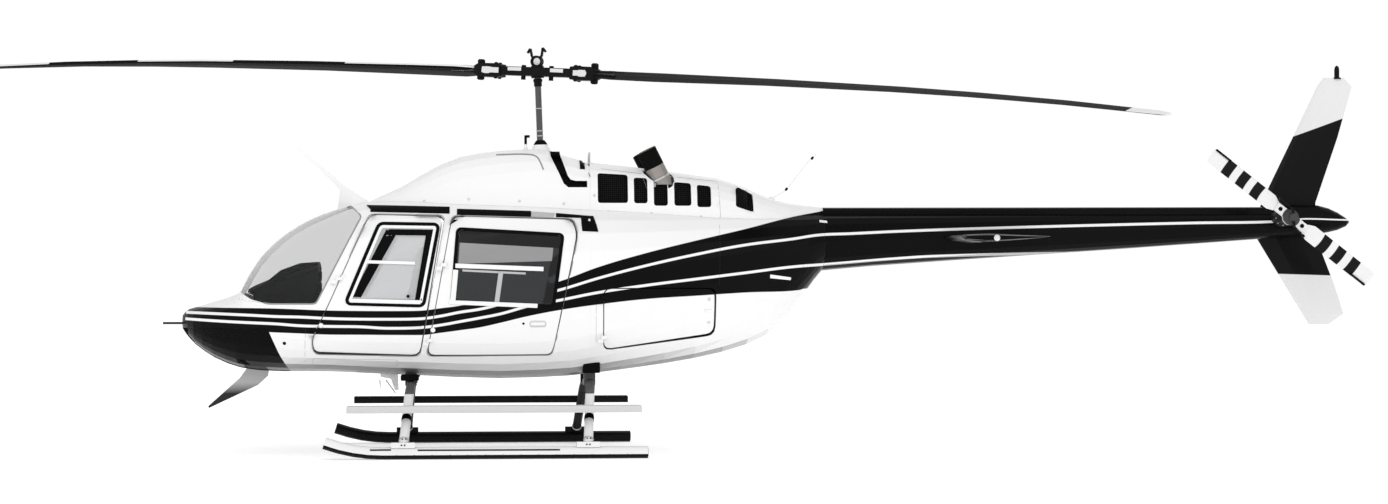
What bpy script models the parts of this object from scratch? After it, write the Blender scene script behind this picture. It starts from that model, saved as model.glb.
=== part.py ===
"""Light single-engine helicopter, parked on high skid gear.

X runs aft, -Y is the aircraft's left side and Z is up from the ground.
Stations in the tables are metres aft of the nose tip; place() shifts them to the part's frame.
"""
import math
import bpy
import bmesh
from mathutils import Matrix, Vector

NOSE_X = -3.805
GAP = 0.0003
DOOR_GAP = 0.008
HINGE_OUT = 0.014
KNUCKLE_RADIUS = 0.008
KNUCKLE_HALF = 0.028

# Fuselage
WALL = 0.028
RING_STEPS = 7
BULKHEAD_X = 3.20
NOSE_JOINT_X = 0.995
BELT_Z = 1.145
ROOF_Z = 1.905
ROOF_FRONT_X = 1.46
BOOM_FRONT_X = 5.10
CONE_X = 8.985

# station, belly z, waist z, top z, half width, lower power, upper power
BODY_ROWS = (
    (0.000, 0.975, 1.032, 1.085, 0.050, 2.0, 2.0),
    (0.040, 0.918, 1.035, 1.128, 0.150, 2.1, 2.1),
    (0.120, 0.836, 1.040, 1.152, 0.260, 2.2, 2.1),
    (0.300, 0.722, 1.040, 1.205, 0.395, 2.2, 2.2),
    (0.450, 0.669, 1.030, 1.262, 0.468, 2.3, 2.2),
    (0.500, 0.659, 1.030, 1.355, 0.488, 2.3, 2.2),
    (0.620, 0.644, 1.025, 1.545, 0.528, 2.3, 2.1),
    (0.840, 0.636, 1.020, 1.745, 0.585, 2.4, 2.2),
    (1.155, 0.634, 1.010, 1.905, 0.632, 2.5, 2.4),
    (1.450, 0.620, 1.000, 1.982, 0.655, 2.6, 2.7),
    (1.800, 0.604, 1.000, 2.000, 0.660, 2.6, 2.9),
    (2.500, 0.575, 1.000, 1.995, 0.660, 2.6, 3.0),
    (3.000, 0.591, 1.040, 1.975, 0.655, 2.6, 3.0),
    (3.470, 0.642, 1.140, 1.960, 0.628, 2.5, 2.9),
    (3.950, 0.710, 1.270, 1.945, 0.560, 2.4, 2.8),
    (4.360, 0.800, 1.400, 1.930, 0.480, 2.3, 2.6),
    (4.680, 0.938, 1.510, 1.915, 0.395, 2.2, 2.4),
    (4.880, 1.145, 1.590, 1.905, 0.335, 2.1, 2.2),
    (5.020, 1.340, 1.645, 1.902, 0.280, 2.0, 2.1),
    (5.100, 1.438, 1.670, 1.900, 0.235, 2.0, 2.0),
)
BODY_STATIONS = (0.0, 0.02, 0.05, 0.10, 0.17, 0.25, 0.35, 0.44, 0.47, 0.51, 0.56, 0.62, 0.70, 0.79,
                 0.90, 1.02, 1.16, 1.30, 1.45, 1.62, 1.85, 2.15, 2.50, 2.80, 3.05, 3.30, 3.55, 3.80,
                 4.05, 4.28, 4.48, 4.65, 4.78, 4.88, 4.96, 5.03, 5.10)

# Same columns; the boom is a round tube with a narrow driveshaft cover along its top
BOOM_ROWS = (
    (5.100, 1.438, 1.670, 1.900, 0.235, 2.0, 2.0),
    (5.500, 1.474, 1.690, 1.902, 0.216, 2.0, 2.0),
    (6.160, 1.520, 1.712, 1.904, 0.193, 2.0, 2.0),
    (6.980, 1.575, 1.740, 1.907, 0.167, 2.0, 2.0),
    (7.810, 1.631, 1.770, 1.909, 0.140, 2.0, 2.0),
    (8.985, 1.716, 1.814, 1.912, 0.104, 2.0, 2.0),
)
BOOM_STATIONS = (BOOM_FRONT_X + GAP, 5.5, 6.2, 6.9, 7.6, 8.3, CONE_X)
COVER_ROWS = (
    (5.100, 1.800, 1.870, 1.947, 0.074, 2.0, 3.0),
    (6.980, 1.820, 1.880, 1.953, 0.062, 2.0, 3.0),
    (8.985, 1.840, 1.890, 1.960, 0.052, 2.0, 3.0),
)
CONE_ROWS = (
    (8.985, 1.716, 1.848, 1.977, 0.112, 2.0, 2.3),
    (9.213, 1.738, 1.860, 1.975, 0.108, 2.0, 2.3),
    (9.360, 1.765, 1.852, 1.925, 0.085, 2.0, 2.2),
    (9.449, 1.800, 1.845, 1.872, 0.050, 2.0, 2.0),
    (9.474, 1.825, 1.840, 1.852, 0.020, 2.0, 2.0),
)
CONE_STATIONS = (CONE_X + GAP, 9.10, 9.213, 9.30, 9.38, 9.449, 9.474)
PYLON_ROWS = (
    (1.480, 1.700, 1.800, 1.990, 0.060, 2.0, 2.0),
    (1.560, 1.700, 1.800, 2.030, 0.150, 2.0, 2.0),
    (1.710, 1.700, 1.800, 2.096, 0.235, 2.0, 2.0),
    (1.870, 1.700, 1.800, 2.192, 0.275, 2.0, 2.1),
    (2.190, 1.700, 1.800, 2.345, 0.315, 2.0, 2.2),
    (2.510, 1.700, 1.800, 2.395, 0.330, 2.0, 2.4),
    (2.830, 1.700, 1.800, 2.412, 0.335, 2.0, 2.6),
    (2.960, 1.700, 1.800, 2.375, 0.338, 2.0, 2.8),
    (3.215, 1.700, 1.800, 2.300, 0.350, 2.0, 3.0),
)
PYLON_STATIONS = (1.48, 1.51, 1.56, 1.62, 1.71, 1.87, 2.03, 2.19, 2.35, 2.51, 2.67, 2.83, 2.90, 2.96, 3.04,
                  3.215)
COWL_ROWS = (
    (3.2153, 1.600, 1.800, 2.306, 0.352, 2.0, 3.2),
    (3.630, 1.600, 1.800, 2.262, 0.355, 2.0, 3.2),
    (4.242, 1.600, 1.800, 2.181, 0.334, 2.0, 3.0),
)
COWL_STATIONS = (3.2153, 3.35, 3.63, 3.92, 4.242)
TAILPIECE_ROWS = (
    (4.2423, 1.600, 1.780, 2.180, 0.331, 2.0, 3.0),
    (4.440, 1.600, 1.780, 2.120, 0.305, 2.0, 2.8),
    (4.602, 1.600, 1.780, 2.048, 0.275, 2.0, 2.5),
    (4.847, 1.600, 1.780, 1.975, 0.190, 2.0, 2.3),
    (5.100, 1.600, 1.780, 1.947, 0.076, 2.0, 2.6),
)
TAILPIECE_STATIONS = (4.2423, 4.33, 4.44, 4.60, 4.73, 4.85, 4.97, 5.10)
FAIRING_WALL = 0.008
# The engine inlet is an open slot between the pylon cowl and the inlet fairing behind it
PYLON_REAR = ((3.300, 2.095), (3.040, 2.095), (3.005, 2.125), (2.965, 2.215), (2.925, 2.300), (2.892, 2.380),
              (2.885, 2.440), (2.885, 2.600))
INLET_FRONT = ((2.985, 2.600), (2.982, 2.440), (2.974, 2.380), (3.037, 2.190), (3.060, 2.157), (3.100, 2.147),
               (3.191, 2.147), (3.191, 2.0953), (3.300, 2.0953))

# Openings in the side, corners as (station, z)
WINDSHIELD = ((0.430, 1.285), (0.575, 1.208), (0.700, 1.176), (1.075, 1.176), (1.420, 1.862),
              (1.318, 1.955), (1.200, 2.150), (0.250, 2.150), (0.250, 1.400))
CHIN_WINDOW = ((-0.060, 0.985), (0.700, 0.985), (0.850, 0.640), (0.850, 0.500), (-0.060, 0.500))
CENTRE_POST_HALF = 0.018
CHIN_KEEL_HALF = 0.030
FRONT_DOOR = ((1.055, 0.785), (1.880, 0.768), (2.072, 1.868), (1.480, 1.880), (1.184, 1.207), (1.040, 0.900))
REAR_DOOR = ((1.925, 0.768), (2.900, 0.775), (2.925, 0.860), (3.108, 1.720), (3.075, 1.845), (2.122, 1.868))
BAGGAGE_DOOR = ((3.300, 0.808), (4.200, 0.925), (4.200, 1.300), (3.300, 1.300))
FRONT_WINDOW = ((1.322, 1.192), (1.892, 1.176), (2.005, 1.781), (1.568, 1.788))
REAR_WINDOW = ((2.124, 1.191), (2.909, 1.159), (2.986, 1.713), (2.170, 1.758))
GLASS_DEPTH = 0.005
GLASS_THICK = 0.004

# Engine cowl grilles, corners as (station, z)
GRILLES = (
    ((3.273, 1.971), (3.512, 1.971), (3.513, 2.197), (3.273, 2.210)),
    ((3.560, 1.969), (3.668, 1.969), (3.668, 2.170), (3.560, 2.175)),
    ((3.718, 1.950), (3.829, 1.950), (3.829, 2.154), (3.718, 2.163)),
    ((3.881, 1.950), (4.017, 1.950), (4.017, 2.131), (3.881, 2.141)),
    ((4.064, 1.940), (4.176, 1.940), (4.176, 2.108), (4.064, 2.120)),
)
TAIL_GRILLE = ((4.375, 1.947), (4.520, 1.901), (4.520, 2.047), (4.381, 2.105))

# Tail surfaces
FIN_Y = 0.130
# height, leading station, trailing station, thickness
FIN_ROWS = (
    (0.994, 9.182, 9.348, 0.030),
    (1.082, 9.127, 9.477, 0.038),
    (1.349, 8.963, 9.387, 0.048),
    (1.600, 8.808, 9.289, 0.056),
    (1.760, 8.710, 9.245, 0.060),
    (2.000, 8.785, 9.240, 0.060),
    (2.138, 8.852, 9.288, 0.058),
    (2.537, 9.049, 9.427, 0.050),
    (2.962, 9.256, 9.550, 0.036),
    (3.035, 9.310, 9.480, 0.030),
)
BEACON = Vector((9.424, FIN_Y, 3.0353))
STABILISER_X = 6.07
STABILISER_CHORD = 0.71
STABILISER_Z = 1.702
# lateral places of the root, the tip and the rounded end
STABILISER_Y = (0.10, 0.945, 0.985)

# Rotors
HUB = Vector((2.806, 0.0, 3.030))
MAST_TILT = math.radians(-2.2)
ROTOR_YAW = math.radians(-24.2)
ROTOR_TEETER = math.radians(5.4)
MAST_RADIUS = 0.025
MAST_FOOT = -0.7492
MAST_TOP = 0.050
MAST_HOLE_RADIUS = 0.040
BLADE_ROOT = 0.525
BLADE_CHORD = 0.33
BLADE_LEAD = 0.30
BLADE_DROOP = 0.135
# distance from the mast, share of the chord, thickness, pitch of blade a, pitch of blade b in degrees
BLADE_ROWS = (
    (0.525, 0.62, 0.050, 15.0, 13.8),
    (0.700, 0.86, 0.046, 14.6, 13.3),
    (1.070, 1.00, 0.040, 11.6, 12.6),
    (2.000, 1.00, 0.038, 9.0, 10.0),
    (3.000, 1.00, 0.038, 6.9, 7.9),
    (3.600, 1.00, 0.038, 4.6, 6.9),
    (4.300, 1.00, 0.038, 1.8, 5.5),
    (5.010, 1.00, 0.036, -1.0, 4.0),
    (5.080, 1.00, 0.020, -1.1, 3.9),
)
TAIL_HUB = Vector((8.858, -0.420, 1.865))
TAIL_BLADE_ROOT = 0.1503
TAIL_RADIUS = 0.825
TAIL_CHORD = 0.135
TAIL_BLADE_ANGLE = math.radians(37.7)
TAIL_BLADE_PITCH = 8.0

# Landing gear
SKID_Y = 1.05
SKID_RADIUS = 0.045
SKID_X = (1.60, 3.62)
CROSS_RADIUS = 0.035
CROSS_STATIONS = (1.755, 3.162)
# lateral, height and aft shift of the cross tube's centre line
CROSS_PATH = ((0.00, 0.545, 0.048), (0.30, 0.545, 0.048), (0.44, 0.530, 0.048), (0.56, 0.470, 0.038),
              (0.98, 0.140, 0.006), (1.05, 0.092, 0.000))
SADDLE_Y = (0.22, 0.32)
STEP_Z = 0.365
STEP_Y = (0.790, 0.910)
STEP_X = (1.320, 3.585)
STEP_ARM_SHIFT = 0.028


# Modelling helpers
def material(name, colour, roughness, metallic=0.0):
    made = bpy.data.materials.new(name)
    made.use_nodes = True
    shader = made.node_tree.nodes["Principled BSDF"]
    shader.inputs["Base Color"].default_value = (*colour, 1.0)
    shader.inputs["Roughness"].default_value = roughness
    shader.inputs["Metallic"].default_value = metallic
    made.diffuse_color = (*colour, 1.0)
    return made


def mesh_object(name, bm):
    bmesh.ops.recalc_face_normals(bm, faces=bm.faces)
    mesh = bpy.data.meshes.new(name)
    bm.to_mesh(mesh)
    bm.free()
    made = bpy.data.objects.new(name, mesh)
    bpy.context.scene.collection.objects.link(made)
    return made


def bridge(name, rings):
    """Closed solid through equal rings of points, capped at both ends."""
    bm = bmesh.new()
    loops = [[bm.verts.new(point) for point in ring] for ring in rings]
    count = len(loops[0])
    for first, second in zip(loops, loops[1:]):
        for index in range(count):
            after = (index + 1) % count
            a, b, c, d = first[index], first[after], second[after], second[index]
            normal = (b.co - a.co).cross(d.co - a.co).normalized()
            if abs(normal.dot(c.co - a.co)) < 1e-6:
                bm.faces.new((a, b, c, d))
            elif a.co.y + b.co.y > 0.0:
                bm.faces.new((a, b, c))
                bm.faces.new((a, c, d))
            else:
                bm.faces.new((a, b, d))
                bm.faces.new((b, c, d))
    bm.faces.new(loops[0])
    bm.faces.new(reversed(loops[-1]))
    return mesh_object(name, bm)


def smooth_rows(rows, station):
    """Row values at one station, by monotone cubic interpolation between the rows."""
    places = [row[0] for row in rows]
    station = min(max(station, places[0]), places[-1])
    spot = max(i for i in range(len(rows) - 1) if places[i] <= station)
    span = places[spot + 1] - places[spot]
    t = (station - places[spot]) / span

    def slope(column, index):
        if index in (0, len(rows) - 1):
            near = 0 if index == 0 else index - 1
            return (rows[near + 1][column] - rows[near][column]) / (places[near + 1] - places[near])
        before = (rows[index][column] - rows[index - 1][column]) / (places[index] - places[index - 1])
        after = (rows[index + 1][column] - rows[index][column]) / (places[index + 1] - places[index])
        if before * after <= 0.0:
            return 0.0
        return 2.0 * before * after / (before + after)

    values = []
    for column in range(1, len(rows[0])):
        low, high = rows[spot][column], rows[spot + 1][column]
        m0, m1 = slope(column, spot) * span, slope(column, spot + 1) * span
        values.append((2 * t**3 - 3 * t**2 + 1) * low + (t**3 - 2 * t**2 + t) * m0
                      + (3 * t**2 - 2 * t**3) * high + (t**3 - t**2) * m1)
    return values


def ring_at(rows, station, inset, steps, shift=0.0):
    low, waist, top, half, low_power, up_power = smooth_rows(rows, station + shift)
    low, top, half = low + inset, top - inset, max(half - inset, 0.004)
    waist = min(max(waist, low + 0.004), top - 0.004)
    ring = []
    for index in range(4 * steps):
        angle = 0.5 * math.pi * index / steps
        across, up = math.cos(angle), math.sin(angle)
        power = up_power if up >= 0 else low_power
        reach = (top - waist) if up >= 0 else (waist - low)
        ring.append((station,
                     half * math.copysign(abs(across) ** (2 / power), across),
                     waist + reach * math.copysign(abs(up) ** (2 / power), up)))
    return ring


def hull(name, rows, stations, inset=0.0, steps=RING_STEPS, lean=None):
    """Loft through interpolated rows; lean(station) shifts the rows read, to keep wall on steep ends."""
    rings = [ring_at(rows, station, inset, steps, lean(station) if lean else 0.0) for station in stations]
    return bridge(name, rings)


def spread(first, last, count):
    return [first + (last - first) * index / (count - 1) for index in range(count)]


def body_hull(name, inset):
    """Fuselage surface set in by a wall; the ends move in too."""
    if inset == 0.0:
        return hull(name, BODY_ROWS, BODY_STATIONS)

    def lean(station):
        if station < 1.3:
            return -inset
        return inset if station > 3.4 else 0.0

    stations = [s for s in BODY_STATIONS if 0.045 + inset <= s <= 5.1 - inset]
    return hull(name, BODY_ROWS, stations, inset, lean=lean)


def swollen_body(name):
    """Fuselage surface grown by the fit gap, for cutting what sits on it."""
    return hull(name, BODY_ROWS, BODY_STATIONS, -GAP)


def side_prism(name, outline, y_low, y_high):
    """Extrude a side-view outline across the aircraft."""
    rings = [[(x, y, z) for x, z in outline] for y in (y_low, y_high)]
    return bridge(name, rings)


def plan_prism(name, outline, z_low, z_high):
    return bridge(name, [[(x, y, z) for x, y in outline] for z in (z_low, z_high)])


def box(name, low, high):
    outline = ((low[0], low[1]), (high[0], low[1]), (high[0], high[1]), (low[0], high[1]))
    return plan_prism(name, outline, low[2], high[2])


def rounded(outline, radius, steps=3):
    """Round each corner of a closed outline with an arc of about the radius."""
    out = []
    count = len(outline)
    for index in range(count):
        here = Vector(outline[index])
        back = Vector(outline[index - 1]) - here
        ahead = Vector(outline[(index + 1) % count]) - here
        reach = min(radius, 0.45 * back.length, 0.45 * ahead.length)
        start, end = here + back.normalized() * reach, here + ahead.normalized() * reach
        for step in range(steps + 1):
            t = step / steps
            point = (1 - t) ** 2 * start + 2 * t * (1 - t) * here + t**2 * end
            out.append((point.x, point.y))
    return out


def inset_outline(outline, inset):
    """Move every side of a closed outline inwards by the same amount."""
    area = sum(a[0] * b[1] - b[0] * a[1] for a, b in zip(outline, outline[1:] + outline[:1]))
    turn = 1.0 if area > 0 else -1.0
    out = []
    count = len(outline)
    for index in range(count):
        here = Vector(outline[index])
        before = (here - Vector(outline[index - 1])).normalized()
        after = (Vector(outline[(index + 1) % count]) - here).normalized()
        normal_a = Vector((-before.y, before.x)) * turn
        normal_b = Vector((-after.y, after.x)) * turn
        middle = (normal_a + normal_b).normalized()
        point = here + middle * inset / max(middle.dot(normal_a), 0.3)
        out.append((point.x, point.y))
    return out


def turned(name, profile, sides):
    """Solid turned about Z through (radius, z) points; a zero radius closes on the axis."""
    bm = bmesh.new()
    loops = []
    for radius, z in profile:
        if radius == 0.0:
            loops.append([bm.verts.new((0, 0, z))])
        else:
            loops.append([bm.verts.new((radius * math.cos(2 * math.pi * k / sides),
                                        radius * math.sin(2 * math.pi * k / sides), z)) for k in range(sides)])
    for first, second in zip(loops, loops[1:]):
        for k in range(sides):
            after = (k + 1) % sides
            quad = [first[k % len(first)], first[after % len(first)], second[after % len(second)],
                    second[k % len(second)]]
            bm.faces.new(list(dict.fromkeys(quad)))
    if len(loops[0]) > 1:
        bm.faces.new(loops[0])
    if len(loops[-1]) > 1:
        bm.faces.new(loops[-1])
    return mesh_object(name, bm)


def sweep(name, path, section, up=Vector((0, 0, 1))):
    """Carry a section of (side, up) points along a path."""
    rings = []
    last = len(path) - 1
    for index, point in enumerate(path):
        here = Vector(point)
        ahead = Vector(path[min(index + 1, last)]) - here
        behind = here - Vector(path[max(index - 1, 0)])
        run = (ahead.normalized() + behind.normalized()).normalized()
        side = run.cross(up).normalized()
        lift = side.cross(run).normalized()
        bend = max((run.dot(ahead.normalized()) if ahead.length else 1.0), 0.5)
        rings.append([tuple(here + side * a + lift * b / bend) for a, b in section])
    return bridge(name, rings)


def circle(radius, sides):
    """Regular outline whose flats lie at the radius, one of them underneath."""
    corner = radius / math.cos(math.pi / sides)
    return [(corner * math.cos(math.pi * (2 * k + 1) / sides), corner * math.sin(math.pi * (2 * k + 1) / sides))
            for k in range(sides)]


def rod(name, start, end, radius, sides=12):
    run = Vector(end) - Vector(start)
    made = turned(name, ((radius, 0.0), (radius, run.length)), sides)
    made.data.transform(Matrix.Translation(Vector(start)) @ run.to_track_quat("Z", "Y").to_matrix().to_4x4())
    return made


def combine(target, tool, operation, keep_tool=False):
    """Apply an exact Boolean to the target's mesh."""
    change = target.modifiers.new("shape", "BOOLEAN")
    change.operation = operation
    change.solver = "EXACT"
    change.object = tool
    bpy.context.view_layer.update()
    evaluated = target.evaluated_get(bpy.context.evaluated_depsgraph_get())
    result = bpy.data.meshes.new_from_object(evaluated)
    target.modifiers.remove(change)
    old = target.data
    target.data = result
    bpy.data.meshes.remove(old)
    if not keep_tool:
        bpy.data.objects.remove(tool)
    return target


def cut(target, tool, keep_tool=False):
    return combine(target, tool, "DIFFERENCE", keep_tool)


def common(target, tool, keep_tool=False):
    return combine(target, tool, "INTERSECT", keep_tool)


def join(target, tool):
    return combine(target, tool, "UNION")


def copy_of(source, name):
    made = source.copy()
    made.data = source.data.copy()
    made.name = name
    bpy.context.scene.collection.objects.link(made)
    return made


def place(made, look, pivot=(0.0, 0.0, 0.0), sharp_degrees=32.0):
    """Move a piece from nose stations to the part's frame, with its origin on the pivot."""
    pivot = Vector(pivot)
    made.data.transform(Matrix.Translation(-pivot))
    made.location = pivot + Vector((NOSE_X, 0.0, 0.0))
    made.data.materials.clear()
    made.data.materials.append(look)
    made.data.shade_smooth()
    made.data.set_sharp_from_angle(angle=math.radians(sharp_degrees))
    return made


def skin_y(station, z):
    """Half width of the fuselage at one station and height."""
    low, waist, top, half, low_power, up_power = smooth_rows(BODY_ROWS, station)
    power = up_power if z >= waist else low_power
    reach = (top - waist) if z >= waist else (waist - low)
    share = min(abs(z - waist) / reach, 1.0)
    return half * (1.0 - share**power) ** (1.0 / power)


# Build
for old in list(bpy.data.objects):
    bpy.data.objects.remove(old)

WHITE = material("white_paint", (0.86, 0.87, 0.88), 0.25)
BLACK = material("black_paint", (0.012, 0.012, 0.014), 0.3)
GLASS = material("clear_glass", (0.62, 0.66, 0.68), 0.05)
TINTED = material("tinted_glass", (0.03, 0.035, 0.04), 0.05)
STEEL = material("bare_steel", (0.55, 0.55, 0.56), 0.35, 1.0)
DARK_METAL = material("dark_metal", (0.06, 0.06, 0.065), 0.45, 0.6)
GREY = material("grey_paint", (0.35, 0.36, 0.37), 0.5)
TRIM = material("cabin_trim", (0.45, 0.44, 0.42), 0.8)
SEAT = material("seat_cover", (0.62, 0.60, 0.56), 0.85)

SIDES = (("left", -1.0), ("right", 1.0))


# name, outline, hinge pins as (station, z) from the bottom, on both sides, extra clearance of leaf corners
# as (corner, aft, up) where the leaf swings inside its opening
DOORS = (
    ("front_door", FRONT_DOOR, ((1.060, 0.960), (1.236, 1.360)), True,
     ((0, 0.0, 0.014), (1, 0.0, 0.004), (2, -0.014, -0.003))),
    ("rear_door", REAR_DOOR, ((1.939, 0.880), (2.044, 1.466)), True,
     ((0, 0.0, 0.004), (3, -0.004, 0.0), (4, -0.004, -0.002))),
    ("baggage_door", BAGGAGE_DOOR, ((3.294, 0.900), (3.294, 1.210)), False,
     ((0, 0.0, 0.003), (1, -0.008, 0.012), (2, -0.008, 0.0))),
)


def hinge_pins(hinges, sign):
    """Pin centres outside the skin, on one straight axis."""
    reach = max(skin_y(station, z) for station, z in hinges) + HINGE_OUT
    return [Vector((station, sign * reach, z)) for station, z in hinges]


def knuckle(pin, pins, sign, moving):
    """Half of a hinge: a barrel on the pin's axis, strapped to the door above or to the post below."""
    run = (pins[1] - pins[0]).normalized()
    way = 1.0 if moving else -1.0
    near, far = 0.5 * GAP * way, KNUCKLE_HALF * way
    barrel = rod("knuckle", pin + run * near, pin + run * far, KNUCKLE_RADIUS, 10)
    depth = abs(pin.y) - skin_y(pin.x + 0.03 * way, pin.z) + 0.5 * WALL
    # along the skin, outwards from the pin
    outline = ((0.0, 0.004), (0.036, 0.004), (0.036, -depth), (0.018, -depth), (0.018, -0.006), (0.0, -0.006))
    strap = bridge("strap", [
        [tuple(pin + run * along + Vector((way * x, sign * y, 0.0))) for x, y in outline]
        for along in (near * 3, far * 0.97)])
    return join(barrel, strap)


def fuselage():
    """Hollow cabin and aft body, split where the real panels meet, with their doors and glass."""
    shell = cut(body_hull("shell", 0.0), body_hull("inside", WALL))
    doors = []
    for name, outline, hinges, both, clearances in DOORS:
        corners = inset_outline(outline, DOOR_GAP)
        for corner, aft, up in clearances:
            corners[corner] = (corners[corner][0] + aft, corners[corner][1] + up)
        leaf_outline = rounded(corners, 0.06)
        for side, sign in SIDES:
            if not both and sign > 0:
                continue
            low, high = sorted((sign * 0.15, sign * 1.0))
            leaf = common(copy_of(shell, f"{name}_{side}" if both else name),
                          side_prism("leaf", leaf_outline, low, high))
            pins = hinge_pins(hinges, sign)
            for pin in pins:
                join(leaf, knuckle(pin, pins, sign, True))
            doors.append((leaf, pins[0], name, sign))
    for outline, span in ((FRONT_DOOR, (-1.0, 1.0)), (REAR_DOOR, (-1.0, 1.0)), (BAGGAGE_DOOR, (-1.0, 0.0))):
        cut(shell, side_prism("opening", rounded(outline, 0.066), *span))
    for door in DOORS[:2]:
        for side, sign in SIDES:
            pins = hinge_pins(door[2], sign)
            for pin in pins:
                join(shell, knuckle(pin, pins, sign, False))

    panes_shell = cut(body_hull("pane_outer", GLASS_DEPTH), body_hull("pane_inner", GLASS_DEPTH + GLASS_THICK))
    # door, window outline
    windows = {"front_door": FRONT_WINDOW, "rear_door": REAR_WINDOW}
    for leaf, pivot, name, sign in doors:
        if name in windows:
            side = "left" if sign < 0 else "right"
            low, high = sorted((sign * 0.15, sign * 1.0))
            cut(leaf, side_prism("window", rounded(windows[name], 0.06), low, high))
            pane = common(copy_of(panes_shell, f"{name}_window_{side}"),
                          side_prism("pane", rounded(inset_outline(windows[name], GAP), 0.06), low, high))
            place(pane, GLASS if name == "front_door" else TINTED, pivot)
        place(leaf, WHITE, pivot)

    # name, outline, centre strip half width, look
    for name, outline, strip, look in (("windshield", WINDSHIELD, CENTRE_POST_HALF, GLASS),
                                       ("chin_window", CHIN_WINDOW, CHIN_KEEL_HALF, TINTED)):
        for side, sign in SIDES:
            low, high = sorted((sign * strip, sign * 1.0))
            cut(shell, side_prism("opening", outline, low, high))
            low, high = sorted((sign * (strip + GAP), sign * 1.0))
            pane = common(copy_of(panes_shell, f"{name}_{side}"),
                          side_prism("pane", inset_outline(outline, GAP), low, high))
            place(pane, look)
    bpy.data.objects.remove(panes_shell)

    # Panel joints seen from the side, with a fit gap between the panels
    g = GAP
    nose_side = ((-0.30, 0.30), (NOSE_JOINT_X, 0.30), (NOSE_JOINT_X, BELT_Z), (0.690, BELT_Z + 0.003),
                 (0.560, 1.180), (0.400, 1.268), (-0.30, 1.268))
    belly_side = ((NOSE_JOINT_X + g, 0.30), (BULKHEAD_X, 0.30), (BULKHEAD_X, BELT_Z), (NOSE_JOINT_X + g, BELT_Z))
    frame_side = ((-0.30, 1.268 + g), (0.400, 1.268 + g), (0.560 + g, 1.180 + g), (0.690, BELT_Z + 0.003 + g),
                  (NOSE_JOINT_X, BELT_Z + g), (BULKHEAD_X, BELT_Z + g), (BULKHEAD_X, ROOF_Z), (ROOF_FRONT_X, ROOF_Z),
                  (ROOF_FRONT_X, 2.30), (-0.30, 2.30))
    roof_side = ((ROOF_FRONT_X + g, ROOF_Z + g), (BULKHEAD_X, ROOF_Z + g), (BULKHEAD_X, 2.30),
                 (ROOF_FRONT_X + g, 2.30))
    for name, outline in (("nose_shell", nose_side), ("cabin_belly", belly_side), ("cabin_frame", frame_side),
                          ("cabin_roof", roof_side)):
        place(common(copy_of(shell, name), side_prism("region", outline, -1.0, 1.0)), WHITE)
    bpy.data.objects.remove(shell)

    aft = body_hull("aft_fuselage", 0.0)
    common(aft, box("region", (BULKHEAD_X + g, -1.0, 0.3), (BOOM_FRONT_X + 0.1, 1.0, 2.3)))
    hold = body_hull("hold", WALL)
    common(hold, box("region", (BULKHEAD_X + g + 0.02, -1.0, 0.3), (5.0, 1.0, 2.3)))
    cut(hold, box("engine_deck", (3.0, -1.0, 1.700), (5.2, 1.0, 1.720)))
    cut(aft, hold)
    cut(aft, box("engine_well", (3.26, -0.30, 1.72), (4.16, 0.30, 2.3)))
    cut(aft, side_prism("opening", rounded(BAGGAGE_DOOR, 0.066), -1.0, 0.0))
    pins = hinge_pins(DOORS[2][2], -1.0)
    for pin in pins:
        join(aft, knuckle(pin, pins, -1.0, False))
    place(aft, WHITE)


def tail():
    boom = hull("tail_boom", BOOM_ROWS, BOOM_STATIONS, steps=5)
    join(boom, hull("cover", COVER_ROWS, BOOM_STATIONS, steps=3))
    cut(boom, hull("hollow", BOOM_ROWS, [BOOM_FRONT_X - 0.05] + spread(5.5, CONE_X - 0.03, 5), 0.010, steps=5))
    place(boom, BLACK)
    cone = hull("tail_cone", CONE_ROWS, CONE_STATIONS, steps=5)
    place(cone, BLACK)

    rings = []
    for z, lead, trail, thick in FIN_ROWS:
        chord = trail - lead
        # share of chord, share of half thickness
        outline = ((0.0, 0.10), (0.08, 0.62), (0.30, 1.0), (0.70, 0.72), (1.0, 0.08))
        upper = [(lead + chord * s, FIN_Y + 0.5 * thick * t, z) for s, t in outline]
        lower = [(lead + chord * s, FIN_Y - 0.5 * thick * t, z) for s, t in reversed(outline)]
        rings.append(upper + lower)
    fin = bridge("vertical_fin", rings)
    cut(fin, hull("boom_cut", BOOM_ROWS, BOOM_STATIONS, -GAP, steps=5))
    cut(fin, hull("cone_cut", CONE_ROWS, CONE_STATIONS, -GAP, steps=5))
    place(fin, BLACK)
    beacon = turned("fin_beacon", ((0.021, 0.0), (0.021, 0.070), (0.015, 0.092), (0.0, 0.102)), 12)
    beacon.data.transform(Matrix.Translation(BEACON))
    place(beacon, DARK_METAL)

    # Stabiliser section: share of chord, height above the chord line
    section = ((0.0, 0.0), (0.05, 0.014), (0.30, 0.022), (0.70, 0.010), (1.0, 0.002),
               (1.0, -0.002), (0.65, -0.026), (0.25, -0.044), (0.05, -0.026))
    for side, sign in SIDES:
        rings = [[(STABILISER_X + STABILISER_CHORD * s, sign * y, STABILISER_Z + h) for s, h in section]
                 for y in STABILISER_Y]
        middle = STABILISER_X + 0.5 * STABILISER_CHORD
        rings[2] = [(x + (0.02 if x < middle else -0.02), y, STABILISER_Z - 0.004 + (z - STABILISER_Z) * 0.6)
                    for x, y, z in rings[2]]
        plane = bridge(f"stabiliser_{side}", rings)
        cut(plane, hull("boom_cut", BOOM_ROWS, BOOM_STATIONS, -GAP, steps=5))
        place(plane, BLACK)


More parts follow.
